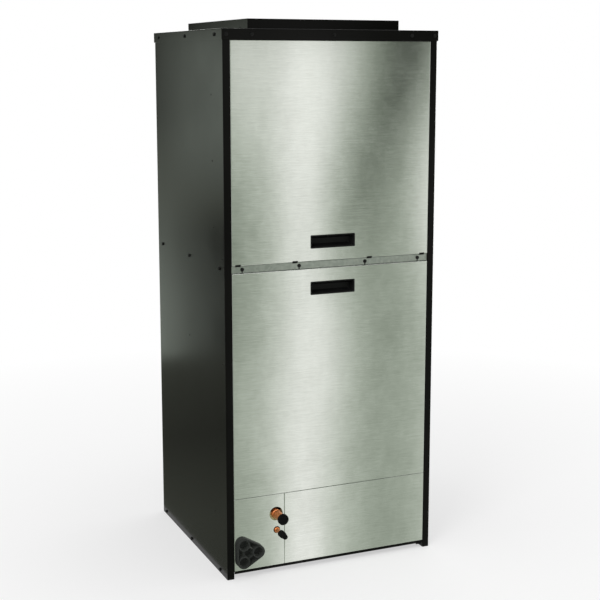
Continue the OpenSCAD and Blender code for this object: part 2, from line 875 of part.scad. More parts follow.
// One side of the wheel: forward curved blades between the disc and an end ring
module blade_bank() {
    linear_extrude(wheel_w / 2 - ring_t / 2)
        for (i = [0:blade_n - 1]) rotate(i * 360 / blade_n) blade();
    translate([0, 0, wheel_w / 2 - ring_t]) linear_extrude(ring_t) difference() {
        circle(wheel_r, $fn = 96);
        circle(blade_in, $fn = 96);
    }
}

module blower_wheel() {
    color("silver") in_cabinet() on_axis(0) difference() {
        union() {
            blade_bank();
            mirror([0, 0, 1]) blade_bank();
            translate([0, 0, -disc_t / 2]) cylinder(h = disc_t, r = wheel_r - blade_d / 2, $fn = 96);
            translate([0, 0, -hub_l]) cylinder(h = hub_l, r = hub_r, $fn = 48);
        }
        translate([0, 0, -hub_l - 1]) cylinder(h = hub_l + disc_t + 2, r = hub_bore, $fn = 48);
    }
}

module motor_shaft() {
    inside = 36;
    color("silver") in_cabinet() on_axis(-hub_l - 6)
        cylinder(h = hub_l + 6 + motor_x + inside, r = shaft_r, $fn = 48);
}

module blower_motor() {
    bell = 14;
    color([0.2, 0.2, 0.22]) in_cabinet() on_axis(motor_x) difference() {
        rotate_extrude($fn = 96) polygon([[0, 0], [motor_r * 0.4, 0], [motor_r - 6, 4],
            [motor_r - 3, bell], [motor_r, bell], [motor_r, motor_l - bell],
            [motor_r - 3, motor_l - bell], [motor_r - 6, motor_l - 4],
            [motor_r * 0.4, motor_l], [0, motor_l]]);
        translate([0, 0, -1]) cylinder(h = 41, r = shaft_r + shaft_gap, $fn = 48);
    }
}

// A band round the motor with three arms bolted to the right side of the housing
module motor_mount() {
    band_x = motor_x + motor_l / 2 - band_w / 2;
    plate_x = housing_w / 2 + sheet;
    arm_w = 18;
    bolt_r = inlet_r + inlet_lip + 24;
    r0 = motor_r + seat_gap;
    color("silver") in_cabinet() {
        on_axis(band_x) difference() {
            union() {
                cylinder(h = band_w, r = r0 + band_t, $fn = 96);
                for (t = [90, 210, 330]) rotate(t) {
                    translate([r0 + 0.4, -arm_w / 2, 0])
                        cube([band_t, arm_w, plate_x - band_x + band_t]);
                    translate([r0 + 0.4, -arm_w / 2, plate_x - band_x])
                        cube([bolt_r - r0, arm_w, band_t]);
                }
            }
            translate([0, 0, -1]) cylinder(h = band_w + 2, r = r0, $fn = 96);
        }
    }
}

module control_box() {
    x = box_w / 2;
    color("silver") in_cabinet() difference() {
        block([-x, box_y, control_z0], [x, box_y + box_d, deck_z]);
        block([-x + sheet, box_y - 1, control_z0 + sheet],
            [x - sheet, box_y + box_d - sheet, deck_z - sheet]);
    }
}

// The board with its relays, fuse and row of spade terminals
module control_board() {
    z0 = control_z0 + board_rise;
    x0 = -box_w / 2 + board_inset;
    board_w = 150;
    board_h = 110;
    color([0.1, 0.35, 0.2]) in_cabinet() {
        block([x0, board_y, z0], [x0 + board_w, board_y + board_t, z0 + board_h]);
        for (dx = [8, board_w - 8], dz = [8, board_h - 8])
            rod([x0 + dx, board_y + board_t, z0 + dz], [0, 1, 0], 3, standoff);
        for (i = [0:2])
            block([x0 + 14 + i * 34, board_y - 16, z0 + 66],
                [x0 + 42 + i * 34, board_y, z0 + 98]);
        for (i = [0:7])
            block([x0 + 16 + i * 14, board_y - 9, z0 + 10],
                [x0 + 23 + i * 14, board_y, z0 + 16]);
        rod([x0 + 130, board_y, z0 + 45], [0, -1, 0], 6, 14);
    }
}

module transformer() {
    x0 = box_w / 2 - 78;
    z0 = control_z0 + 100;
    y1 = box_y + box_d - sheet;
    color([0.25, 0.25, 0.28]) in_cabinet() {
        block([x0 - 8, y1 - 2, z0 - 4], [x0 + 64, y1, z0 + 50]);
        block([x0, y1 - 24, z0], [x0 + 56, y1, z0 + 46]);
        block([x0 + 12, y1 - 38, z0 + 6], [x0 + 44, y1, z0 + 40]);
    }
}

module terminal_block() {
    x0 = box_w / 2 - 84;
    z0 = control_z0 + 14;
    y1 = box_y + box_d - sheet;
    pole = 22;
    color([0.05, 0.05, 0.06]) in_cabinet() difference() {
        block([x0, y1 - 30, z0], [x0 + 3 * pole + 4, y1, z0 + 40]);
        for (i = [0:2])
            block([x0 + 4 + i * pole, y1 - 31, z0 + 6],
                [x0 + i * pole + pole, y1 - 14, z0 + 34]);
    }
}

module run_capacitor() {
    r = 22;
    l = 70;
    color("silver") in_cabinet() {
        translate([0, box_y + box_d + r + 0.1, control_z0 + 70]) {
            cylinder(h = l, r = r, $fn = 64);
            for (s = [-1, 1]) translate([s * 8 - 3, -0.5, l]) cube([6, 1, 8]);
        }
        translate([0, box_y + box_d + r + 0.1, control_z0 + 96]) difference() {
            cylinder(h = 14, r = r + 1.2, $fn = 64);
            translate([0, 0, -1]) cylinder(h = 16, r = r + 0.1, $fn = 64);
            translate([-60, -r - 60, -1]) cube([120, 60, 16]);
        }
    }
}

// The right slab's own frame: Z runs up the slab and X across its thickness
module on_slab() {
    translate([foot_x, 0, coil_foot_z]) rotate([0, -coil_lean, 0]) children();
}

module both_slabs() {
    on_slab() children();
    mirror([1, 0, 0]) on_slab() children();
}

module fin_pack() {
    linear_extrude(slab_l) union() {
        translate([-core_half, fin_y]) square([2 * core_half, fin_l]);
        for (i = [0:fin_n])
            translate([-slab_half, fin_y + i * (fin_l - fin_t) / fin_n])
                square([2 * slab_half, fin_t]);
    }
}

module left_fin_pack() {
    color("lightgray") in_cabinet() mirror([1, 0, 0]) on_slab() fin_pack();
}

module right_fin_pack() {
    color("lightgray") in_cabinet() on_slab() fin_pack();
}

// A tube sheet: a channel with its flanges turned away from the fins
module tube_sheet(y, way) {
    n = slab_half + tube_sheet_t;
    flange_y = y + way * tube_sheet_flange;
    translate([-n, y - tube_sheet_t / 2, 0]) cube([2 * n, tube_sheet_t, slab_l]);
    for (s = [-1, 1])
        translate([s * (n - tube_sheet_t / 2) - tube_sheet_t / 2, min(y, flange_y), 0])
            cube([tube_sheet_t, tube_sheet_flange, slab_l]);
}

module tube_sheets() {
    color("silver") in_cabinet() both_slabs() {
        tube_sheet(fin_y - tube_sheet_t / 2, -1);
        tube_sheet(fin_y1 + tube_sheet_t / 2, 1);
    }
}

// A half ring that joins two tubes: along the slab, or across it between the rows
module along_bend(n, s, y, way) {
    translate([n, y, s]) rotate([0, 90, 0]) rotate([0, 0, way > 0 ? 0 : 180])
        rotate_extrude(angle = 180, $fn = 48) translate([tube_pitch / 2, 0])
            circle(tube_r, $fn = 24);
}

module cross_bend(s, y) {
    translate([0, y, s]) rotate([0, 0, 180]) rotate_extrude(angle = 180, $fn = 48)
        translate([tube_row, 0]) circle(tube_r, $fn = 24);
}

module return_bends() {
    color(copper) in_cabinet() both_slabs() {
        for (k = [0:circuits - 1]) {
            for (n = [-tube_row, tube_row]) {
                along_bend(n, tube_s(4 * k + 1.5), sheet_y0, -1);
                along_bend(n, tube_s(4 * k + 0.5), sheet_y1, 1);
                along_bend(n, tube_s(4 * k + 2.5), sheet_y1, 1);
            }
            cross_bend(tube_s(4 * k + 3), sheet_y0);
        }
    }
}

// The sheet that closes the end of the A between the slabs
module delta_plate(y) {
    n = -slab_half - tube_sheet_t - seat_gap;
    foot_s = slab_s(floor_z + pan_inner_h, n);
    low = slab_pt(foot_s, n);
    high = slab_pt(slab_l - 12, n);
    translate([0, y + sheet, 0]) rotate([90, 0, 0]) linear_extrude(sheet)
        polygon([[-low[0], low[1]], [low[0], low[1]], [high[0], high[1]], [-high[0], high[1]]]);
}

module front_delta_plate() {
    color("silver") in_cabinet() delta_plate(sheet_y0);
}

module rear_delta_plate() {
    color("silver") in_cabinet() delta_plate(fin_y1);
}

// A folded roof over the top of the A
module apex_cap() {
    y0 = sheet_y0 - tube_sheet_flange;
    y1 = sheet_y1 + tube_sheet_flange;
    n1 = slab_half + tube_sheet_t + seat_gap;
    n0 = -foot_x / cos(coil_lean) + slab_l * tan(coil_lean);
    leg = 22;
    color("silver") in_cabinet() both_slabs() {
        translate([n0 - 0.1, y0, slab_l + seat_gap])
            cube([n1 - n0 + 0.1 + sheet, y1 - y0, sheet]);
        translate([n1, y0, slab_l - leg]) cube([sheet, y1 - y0, leg + seat_gap + sheet]);
    }
}

module drain_pan() {
    color([0.12, 0.12, 0.13]) in_cabinet() difference() {
        union() {
            difference() {
                block([-pan_x, pan_y, pan_z], [pan_x, pan_back, pan_top]);
                block([-pan_x + pan_t, pan_y + pan_t, floor_z],
                    [pan_x - pan_t, pan_back - pan_t, pan_top + 1]);
            }
            block([-open_x - pan_t, open_y0 - pan_t, pan_z],
                [open_x + pan_t, open_y1 + pan_t, floor_z + pan_inner_h]);
            for (s = [-1, 1], y = [fin_y + 20, fin_y1 - 40]) pan_rib(s, y);
        }
        block([-open_x, open_y0, pan_z - 1], [open_x, open_y1, pan_top + 1]);
        for (d = drains) rod([d[0], pan_y - 1, d[1]], [0, 1, 0], drain_hole_r, pan_t + 2);
    }
}

// A rib in the pan's side channel that the slab stands on
module pan_rib(s, y) {
    x = slab_pt(0, -slab_half)[0];
    z = slab_pt(0, -slab_half)[1] - seat_gap;
    block([s > 0 ? x - 4 : -x - 22, y, pan_z], [s > 0 ? x + 22 : -x + 4, y + 20, z]);
}

module drain_block() {
    back = 3;
    wall = 2.5;
    hole_r = socket_r + 0.1;
    color([0.1, 0.1, 0.1]) in_cabinet() {
        difference() {
            union() {
                difference() {
                    drain_shroud(shroud_r, -shroud_reach, 0);
                    drain_shroud(shroud_r - wall, -shroud_reach - 1, -back);
                }
                drain_webs(back);
            }
            for (d = drains)
                rod([d[0], -shroud_reach - 1, d[1]], [0, 1, 0], hole_r, shroud_reach + 2);
        }
        for (d = drains) translate([d[0], 0, d[1]]) drain_socket();
    }
}

// A socket with the spigot that joins it to the pan
module drain_socket() {
    difference() {
        union() {
            rod([0, -shroud_reach, 0], [0, 1, 0], socket_r, shroud_reach);
            rod([0, -1, 0], [0, 1, 0], spigot_r, pan_y + 1);
        }
        rod([0, -shroud_reach - 1, 0], [0, 1, 0], socket_bore, socket_depth + 1);
        rod([0, -1, 0], [0, 1, 0], drain_hole_r, pan_y + 2);
    }
}

module drain_shroud(r, y0, y1) {
    translate([0, y1, 0]) rotate([90, 0, 0]) linear_extrude(y1 - y0)
        hull() for (d = drains) translate(d) circle(r, $fn = 32);
}

// Thin webs that join the sockets to one another
module drain_webs(back) {
    web = 1.6;
    for (i = [0:2]) {
        a = drains[i];
        b = drains[(i + 1) % 3];
        turn = atan2(b[1] - a[1], b[0] - a[0]);
        translate([a[0], -back, a[1]]) rotate([0, -turn, 0])
            translate([0, 4 - shroud_reach, -web / 2])
                cube([norm(b - a), shroud_reach - 4, web]);
    }
}

// A suction header: a closed pipe along the slab with a feeder to each circuit
module header() {
    on_slab() {
        translate([tube_row, header_y, header_s0])
            cylinder(h = header_s1 - header_s0, r = header_r, $fn = 48);
        for (k = [0:circuits - 1])
            rod([tube_row, header_y, tube_s(4 * k)], [0, 1, 0], tube_r, sheet_y0 - header_y);
    }
}

module left_header() {
    color(copper) in_cabinet() mirror([1, 0, 0]) header();
}

module right_header() {
    color(copper) in_cabinet() header();
}

module suction_line() {
    color(copper) in_cabinet() difference() {
        union() {
            rod([stub_x, -suction_reach, suction_z], [0, 1, 0], suction_r,
                suction_reach + header_y);
            rod([stub_x, -suction_swage, suction_z], [0, 1, 0], suction_r + pipe_wall,
                suction_swage + swage_l);
            rod([-cross_x, header_y, suction_z], [1, 0, 0], suction_r, 2 * cross_x);
        }
        rod([stub_x, -suction_reach - 1, suction_z], [0, 1, 0], suction_r - pipe_wall,
            suction_reach + header_y + 1);
        both_slabs() translate([tube_row, header_y, 0])
            cylinder(h = slab_l, r = header_r + 0.1, $fn = 48);
    }
}

module suction_plug() {
    y0 = -suction_reach - plug_gap;
    round_r = 1.5;
    color([0.04, 0.04, 0.04]) in_cabinet() {
        translate([stub_x, y0, suction_z]) rotate([90, 0, 0]) rotate_extrude($fn = 64)
            polygon([[0, 0], [suction_plug_r - 0.6, 0], [suction_plug_r, 0.6],
                [suction_plug_r, suction_plug_l - round_r],
                [suction_plug_r - round_r, suction_plug_l], [0, suction_plug_l]]);
        rod([stub_x, y0 - 1, suction_z], [0, 1, 0], stem_r, stem_l + 1);
    }
}

// A quarter bend of pipe that leaves along +Y and turns towards +X
module elbow(r) {
    rotate_extrude(angle = 90, $fn = 48) translate([bend_r, 0]) circle(r, $fn = 32);
}

module liquid_line() {
    valve_foot = valve_z - valve_r - valve_stem;
    color(copper) in_cabinet() difference() {
        union() {
            rod([feed_x, -liquid_reach, liquid_z], [0, 1, 0], liquid_r,
                liquid_reach + liquid_y - bend_r);
            rod([feed_x, -liquid_swage, liquid_z], [0, 1, 0], liquid_r + 2 * pipe_wall,
                liquid_swage + swage_l);
            translate([feed_x + bend_r, liquid_y - bend_r, liquid_z]) rotate([0, 0, 90])
                elbow(liquid_r);
            rod([feed_x + bend_r, liquid_y, liquid_z], [1, 0, 0], liquid_r,
                -feed_x - 2 * bend_r);
            translate([-bend_r, liquid_y, liquid_z + bend_r]) rotate([90, 0, 0])
                rotate([0, 0, -90]) elbow(liquid_r);
            rod([0, liquid_y, liquid_z + bend_r], [0, 0, 1], liquid_r,
                valve_foot - liquid_z - bend_r);
        }
        rod([feed_x, -liquid_reach - 1, liquid_z], [0, 1, 0], liquid_r - pipe_wall,
            liquid_reach + liquid_y - bend_r);
    }
}

module liquid_plug() {
    y0 = -liquid_reach - plug_gap;
    body_l = liquid_plug_l - plug_gap;
    color([0.04, 0.04, 0.04]) in_cabinet() {
        translate([feed_x, y0, liquid_z]) rotate([90, 0, 0]) rotate_extrude($fn = 48)
            polygon([[0, 0], [liquid_plug_r - 0.8, 0], [liquid_plug_r, 0.8],
                [liquid_plug_r, body_l * 0.45], [liquid_tip_r + 0.3, body_l * 0.72],
                [liquid_tip_r, body_l - 1.2], [liquid_tip_r - 1.2, body_l], [0, body_l]]);
        rod([feed_x, y0 - 1, liquid_z], [0, 1, 0], liquid_stem_r, liquid_stem_l + 1);
    }
}

module expansion_valve() {
    z0 = valve_z - valve_r - valve_stem;
    z1 = valve_z + valve_r + 14;
    color([0.75, 0.6, 0.3]) in_cabinet() translate([0, liquid_y, 0]) {
        translate([0, 0, z0]) cylinder(h = 14, r = 9, $fn = 6);
        translate([0, 0, z0 + 13]) cylinder(h = z1 - z0 - 13, r = valve_r, $fn = 48);
        translate([0, 0, z1 - 1]) cylinder(h = 6, r = 7, $fn = 48);
        translate([0, 0, z1 + 4]) rotate_extrude($fn = 64) polygon([[0, 0], [head_r - 4, 0],
            [head_r, 3], [head_r, 5], [head_r - 4, 8], [5, 11], [0, 11]]);
        rod([0, 0, valve_z], [0, 1, 0], 7, 18);
        translate([0, 13, valve_z]) rotate([-90, 0, 0]) cylinder(h = 9, r = 9.5, $fn = 6);
    }
}

// Where the feed tubes leave the distributor
feed_ring = circuits * (2 * feed_r + 0.4) / PI;
dist_y0 = liquid_y + 22;
dist_y1 = dist_y0 + 18;

module distributor() {
    r = feed_ring + feed_r + 0.8;
    color([0.8, 0.62, 0.32]) in_cabinet() translate([0, dist_y0, valve_z]) rotate([-90, 0, 0])
        rotate_extrude($fn = 64) polygon([[0, 0], [6, 0], [6, 4], [r, 12], [r, 18], [0, 18]]);
}

// A tube of six sides along a list of points, each with its own sideways direction
module sweep(points, side, r, sides) {
    n = len(points);
    tangents = [for (i = [0:n - 1])
        let (d = points[min(i + 1, n - 1)] - points[max(i - 1, 0)]) d / norm(d)];
    rings = [for (i = [0:n - 1], j = [0:sides - 1])
        let (t = tangents[i], u = side, v = cross(t, u), a = 360 * j / sides)
        points[i] + r * (cos(a) * u + sin(a) * v)];
    walls = [for (i = [0:n - 2], j = [0:sides - 1])
        let (k = (j + 1) % sides, a = i * sides, b = a + sides)
        each [[a + j, a + k, b + k], [a + j, b + k, b + j]]];
    ends = [for (j = [1:sides - 2]) each [[0, j + 1, j],
        [(n - 1) * sides, (n - 1) * sides + j, (n - 1) * sides + j + 1]]];
    polyhedron(rings, concat(walls, ends));
}

// A feed tube: back out of the distributor, across, and back into its circuit
function feed_route(a, b, run_y) =
    let (d = b - a, u = d / norm(d), k = run_y - dist_y1 - 1)
    concat(
        [[a[0], dist_y1, a[1]]],
        [for (t = [0:22.5:90]) let (c = k * (1 - cos(t)))
            [a[0] + c * u[0], dist_y1 + 1 + k * sin(t), a[1] + c * u[1]]],
        [for (t = [0:22.5:90])
            let (c = k * (1 - sin(t))) [b[0] - c * u[0], run_y + k * (1 - cos(t)),
                b[1] - c * u[1]]],
        [[b[0], sheet_y0, b[1]]]);

module feed_tubes() {
    run_y = (header_y + header_r + sheet_y0 - tube_pitch / 2 - tube_r) / 2;
    color(copper) in_cabinet()
        for (s = [-1, 1], k = [0:circuits - 1]) {
            t = -90 + (k + 0.5) * 180 / circuits;
            a = [s * feed_ring * cos(t), valve_z + feed_ring * sin(t)];
            end = slab_pt(tube_s(4 * k), -tube_row);
            b = [s * end[0], end[1]];
            u = (b - a) / norm(b - a);
            sweep(feed_route(a, b, run_y), [-u[1], 0, u[0]], feed_r, 6);
        }
}

module sensing_bulb() {
    z = suction_z + suction_r + bulb_r + seat_gap;
    x0 = 60;
    strap = 8;
    color(copper) in_cabinet() {
        rod([x0, header_y, z], [1, 0, 0], bulb_r, bulb_l);
        rod([x0 - 6, header_y, z], [1, 0, 0], 1.6, 7);
        for (x = [x0 + 12, x0 + bulb_l - 20]) difference() {
            hull() {
                rod([x, header_y, z], [1, 0, 0], bulb_r + 1, strap);
                rod([x, header_y, suction_z], [1, 0, 0], suction_r + 1, strap);
            }
            hull() {
                rod([x - 1, header_y, z], [1, 0, 0], bulb_r + 0.1, strap + 2);
                rod([x - 1, header_y, suction_z], [1, 0, 0], suction_r + 0.1, strap + 2);
            }
        }
    }
}

module cabinet_screws() {
    color([0.1, 0.1, 0.1]) in_cabinet()
        for (s = all_screws) translate(s[0]) face_to(s[1]) screw_body();
}

module rail_screws() {
    color([0.05, 0.05, 0.05]) in_cabinet()
        for (x = latch_xs) translate([x, rail_recess, rail_z]) face_to([0, -1, 0]) screw_body();
}

left_side_panel();
right_side_panel();
rear_panel();
top_cap();
supply_collar();
base_pan();
base_rail();
lower_rail();
mid_rail();
top_rail();
side_braces();
pan_rails();
upper_access_panel();
upper_pull();
upper_panel_liner();
lower_access_panel();
lower_pull();
lower_panel_liner();
fitting_panel();
fitting_liner();
service_panel();
service_liner();
left_liner();
right_liner();
rear_liner();
panel_gaskets();
blower_deck();
left_blower_side();
right_blower_side();
scroll_wrap();
blower_wheel();
motor_shaft();
blower_motor();
motor_mount();
control_box();
control_board();
transformer();
terminal_block();
run_capacitor();
left_fin_pack();
right_fin_pack();
tube_sheets();
return_bends();
front_delta_plate();
rear_delta_plate();
apex_cap();
drain_pan();
drain_block();
left_header();
right_header();
suction_line();
suction_plug();
liquid_line();
liquid_plug();
expansion_valve();
distributor();
feed_tubes();
sensing_bulb();
cabinet_screws();
rail_screws();
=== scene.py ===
import json
import math

import bmesh
import bpy
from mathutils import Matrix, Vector, noise


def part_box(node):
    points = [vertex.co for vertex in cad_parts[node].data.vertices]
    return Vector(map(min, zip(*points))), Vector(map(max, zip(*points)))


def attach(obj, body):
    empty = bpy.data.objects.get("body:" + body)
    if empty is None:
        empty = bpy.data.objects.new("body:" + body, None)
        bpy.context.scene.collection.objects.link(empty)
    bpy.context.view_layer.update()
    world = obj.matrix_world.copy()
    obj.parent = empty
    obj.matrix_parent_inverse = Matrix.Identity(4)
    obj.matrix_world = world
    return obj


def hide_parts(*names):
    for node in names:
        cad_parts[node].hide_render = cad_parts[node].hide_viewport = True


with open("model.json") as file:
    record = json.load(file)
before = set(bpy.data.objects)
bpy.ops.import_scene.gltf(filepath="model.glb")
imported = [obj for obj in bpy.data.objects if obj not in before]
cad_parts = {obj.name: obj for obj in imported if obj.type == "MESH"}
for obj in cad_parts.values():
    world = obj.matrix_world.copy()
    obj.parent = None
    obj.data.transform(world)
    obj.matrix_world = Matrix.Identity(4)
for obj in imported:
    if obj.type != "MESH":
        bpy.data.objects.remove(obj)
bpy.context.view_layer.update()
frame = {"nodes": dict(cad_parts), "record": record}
nodes = frame["nodes"]
scene = bpy.context.scene
scene.view_settings.view_transform = "Standard"
noise.seed_set(7)  # without a seed, noise_vector differs from run to run

mm = 0.001
inward, outward = (0, 1, 0), (0, -1, 0)  # along the depth
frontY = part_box("fitting_panel")[0].y / mm  # the front face, in the frame
print("frame loaded:", len(nodes), "nodes")


def place(point):
    return Vector((point[0], point[1] + frontY, point[2])) * mm


def nodeBox(name):
    low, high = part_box(name)
    shift = Vector((0, frontY, 0))
    return low / mm - shift, high / mm - shift


def spanOf(name):
    low, high = nodeBox(name)
    return (high - low) / 2, (low + high) / 2


# cabinet measures, read off the frame

leftBox = nodeBox("left_side_panel")
upperBox = nodeBox("upper_access_panel")
lowerBox = nodeBox("lower_access_panel")
fittingBox = nodeBox("fitting_panel")
collarBox = nodeBox("supply_collar")

cabinet = {
    "half": -leftBox[0].x,
    "depth": leftBox[1].y,
    "sideTop": leftBox[1].z,
    "sheet": 1.0,
    "bend": 1.4,
    "post": -leftBox[1].x + 8,
    "lip": -leftBox[1].x,
    "lipY": 23.0,
    "rearFlange": 20.0,
}


# shader helpers

def feed(tree, socket, value):
    # links a socket to a value that is a socket, or else sets it; a single number can be a grey
    if isinstance(value, bpy.types.NodeSocket):
        tree.links.new(value, socket)
    elif socket.type == "RGBA":
        socket.default_value = (*value, 1) if isinstance(value, tuple) else (value, value, value, 1)
    else:
        socket.default_value = value


def addNode(tree, kind, values=None, **settings):
    node = tree.nodes.new("ShaderNode" + kind)
    for key, value in settings.items():
        setattr(node, key, value)
    for key, value in (values or {}).items():
        feed(tree, node.inputs[key], value)
    return node


def mixColours(tree, factor, first, second):
    return addNode(tree, "Mix", {0: factor, 6: first, 7: second}, data_type="RGBA").outputs[2]


def remap(tree, value, low, high, toLow, toHigh):
    return addNode(tree, "MapRange", {"Value": value, "From Min": low, "From Max": high,
        "To Min": toLow, "To Max": toHigh}).outputs[0]


def calculate(tree, operation, *values, **settings):
    return addNode(tree, "Math", dict(enumerate(values)), operation=operation,
        **settings).outputs[0]


def noiseOf(tree, coords, scale, detail=2.0, **more):
    return addNode(tree, "TexNoise", {"Vector": coords, "Scale": scale, "Detail": detail,
        **more}).outputs


def newGroup(name, inputs, build):
    # build takes the input sockets and object coordinates, and returns the outputs by name
    tree = bpy.data.node_groups.new(name, "ShaderNodeTree")
    for label, kind in inputs.items():
        tree.interface.new_socket(name=label, in_out="INPUT", socket_type="NodeSocket" + kind)
    given = tree.nodes.new("NodeGroupInput").outputs
    results = build(tree, given, addNode(tree, "TexCoord").outputs["Object"])
    for label in results:
        tree.interface.new_socket(name=label, in_out="OUTPUT", socket_type="NodeSocketFloat")
    sink = tree.nodes.new("NodeGroupOutput")
    for label, value in results.items():
        tree.links.new(value, sink.inputs[label])
    return tree


def useGroup(tree, group, **values):
    return addNode(tree, "Group", values, node_tree=group).outputs


def drawnGrain(tree, given, coords):
    # noise drawn out along one direction: brushing, rolling marks, soft bands
    drawn = addNode(tree, "VectorMath", {0: coords, 1: given["Stretch"]}, operation="MULTIPLY")
    grain = noiseOf(tree, drawn.outputs[0], 1.0, given["Detail"], Roughness=0.6)[0]
    centred = calculate(tree, "SUBTRACT", grain, 0.5)
    return {"Value": calculate(tree, "MULTIPLY_ADD", centred, given["Contrast"], 0.5,
        use_clamp=True)}


def coatSpeckle(tree, given, coords):
    # fine orange peel with a few brighter specks and a slow drift of tone
    specks = noiseOf(tree, coords, calculate(tree, "MULTIPLY", given["Peel"], 2.3), 1.0)[0]
    drift = noiseOf(tree, coords, given["Drift"], 3.0)[0]
    return {"Height": noiseOf(tree, coords, given["Peel"])[0],
        "Specks": remap(tree, specks, 0.66, 0.76, 0, 1),
        "Tone": remap(tree, drift, 0.3, 0.7, 0, 1)}


def zincSpangle(tree, given, coords):
    # the crystals of a hot dipped zinc coat
    bent = addNode(tree, "VectorMath", {0: noiseOf(tree, coords, 60.0)["Color"],
        1: (0.006, 0.006, 0.006), 2: coords}, operation="MULTIPLY_ADD").outputs[0]
    cells, edges = [addNode(tree, "TexVoronoi", {"Vector": bent, "Scale": given["Size"]},
        feature=feature).outputs for feature in ("F1", "DISTANCE_TO_EDGE")]
    split = addNode(tree, "SeparateColor", {0: cells["Color"]})
    return {"Facet": split.outputs[0], "Edge": remap(tree, edges[0], 0.0, 0.06, 1, 0)}


def mattedFibres(tree, given, coords):
    # matted fibres at two sizes; the tone follows the swirl that also raises the relief, so the
    # hollows get painted shade
    swirl = noiseOf(tree, coords, given["Scale"], 5.0, Roughness=0.75, Distortion=2.2)[0]
    clumps = noiseOf(tree, coords, 28.0, Distortion=0.6)[0]
    return {"Height": calculate(tree, "MULTIPLY_ADD", clumps, 0.8, swirl),
        "Tone": remap(tree, swirl, 0.35, 0.68, 0, 1)}


def rubbedAndLitEdges(tree, given, coords):
    # corners and edges made lighter: partly rubbed bare by handling, partly a painted highlight along
    # the edges
    eased = addNode(tree, "Bevel", {"Radius": given["Reach"]}, samples=4).outputs[0]
    facing = addNode(tree, "VectorMath", {0: eased,
        1: addNode(tree, "NewGeometry").outputs["Normal"]}, operation="DOT_PRODUCT")
    breakup = noiseOf(tree, coords, given["Breakup"], 4.0)[0]
    return {"Mask": calculate(tree, "MULTIPLY",
        remap(tree, facing.outputs["Value"], 0.98, 0.75, 0, 1),
        remap(tree, breakup, 0.42, 0.62, 0.1, 1))}


grainGroup = newGroup("drawnGrain", {"Stretch": "Vector", "Detail": "Float",
    "Contrast": "Float"}, drawnGrain)
speckleGroup = newGroup("coatSpeckle", {"Peel": "Float", "Drift": "Float"}, coatSpeckle)
spangleGroup = newGroup("zincSpangle", {"Size": "Float"}, zincSpangle)
fibreGroup = newGroup("mattedFibres", {"Scale": "Float"}, mattedFibres)
edgeWearAndHighlightGroup = newGroup("rubbedAndLitEdges", {"Reach": "Float", "Breakup": "Float"}, rubbedAndLitEdges)
print("shader groups built")


# finishes: each function returns the inputs of one Principled shader

def overlay(tree, base, colour, mask, amount, low=0, high=1):
    return mixColours(tree, remap(tree, mask, low, high, 0, amount), base, colour)


def relief(tree, height, strength, distance):
    return addNode(tree, "Bump", {"Height": height, "Strength": strength,
        "Distance": distance}).outputs[0]


def stainless(tree, look):
    fine, streak, cloud = [useGroup(tree, grainGroup, Stretch=stretch, Detail=detail,
        Contrast=contrast)[0] for stretch, detail, contrast in (((6, 300, 1100), 2.0, 1.6),
        ((34, 80, 620), 4.0, 2.4), ((22, 22, 14), 3.0, 1.0))]
    tone = calculate(tree, "MULTIPLY_ADD", calculate(tree, "ADD", fine, streak), 0.5, cloud)
    return {"Metallic": 1.0, "Anisotropic": 0.8, "Anisotropic Rotation": 0.25,
        "Tangent": addNode(tree, "Tangent", direction_type="RADIAL", axis="Z").outputs[0],
        "Base Color": mixColours(tree, remap(tree, tone, 0.5, 1.5, 0, 1), look["dark"],
            look["light"]),
        "Roughness": remap(tree, tone, 0.5, 1.5, *look["roughness"]),
        "Normal": relief(tree, streak, 0.1, 0.0002)}


def enamel(tree, look):
    coat = useGroup(tree, speckleGroup, Peel=look["peel"], Drift=5.0)
    # the edge mask marks wear and also a painted highlight along the edges
    wear = useGroup(tree, edgeWearAndHighlightGroup, Reach=0.0009, Breakup=120.0)[0]
    base = mixColours(tree, coat["Tone"], look["dark"], look["light"])
    specked = overlay(tree, base, look["speck"], coat["Specks"], 0.35)
    return {"Specular IOR Level": look["gloss"],
        "Base Color": overlay(tree, specked, look["bare"], wear, look["wear"]),
        "Roughness": remap(tree, coat["Tone"], 0, 1, *look["roughness"]),
        "Normal": relief(tree, coat["Height"], look["bump"], 0.0004)}


def zinc(tree, look):
    spangle = useGroup(tree, spangleGroup, Size=look["size"])
    rolled = useGroup(tree, grainGroup, Stretch=(30, 30, 220), Detail=3.0, Contrast=1.6)[0]
    tone = calculate(tree, "MULTIPLY_ADD", spangle["Facet"], 0.7,
        remap(tree, rolled, 0, 1, 0, 0.3))
    base = mixColours(tree, tone, look["dark"], look["light"])
    return {"Metallic": 1.0, "Base Color": overlay(tree, base, look["seam"], spangle["Edge"], 0.35),
        "Roughness": remap(tree, tone, 0, 1, *look["roughness"]),
        "Normal": relief(tree, spangle["Facet"], 0.1, 0.0002)}


def drawnMetal(tree, look):
    # drawn or machined metal with tarnish in soft patches
    marks = useGroup(tree, grainGroup, Stretch=look["stretch"], Detail=3.0, Contrast=2.0)[0]
    patches = useGroup(tree, grainGroup, Stretch=(40, 40, 40), Detail=4.0, Contrast=3.0)[0]
    base = mixColours(tree, patches, look["clean"], look["tarnish"])
    return {"Metallic": 1.0, "Base Color": overlay(tree, base, look["line"], marks, 0.25, 0.3, 0.8),
        "Roughness": remap(tree, patches, 0, 1, *look["roughness"]),
        "Normal": relief(tree, marks, 0.12, 0.0002)}


def moulded(tree, look):
    skin = useGroup(tree, speckleGroup, Peel=look["peel"], Drift=22.0)
    base = mixColours(tree, skin["Tone"], look["dark"], look["light"])
    return {"Specular IOR Level": look["gloss"],
        "Base Color": overlay(tree, base, look["dust"], skin["Specks"], 0.2),
        "Roughness": remap(tree, skin["Tone"], 0, 1, *look["roughness"]),
        "Normal": relief(tree, skin["Height"], look["bump"], 0.0003)}


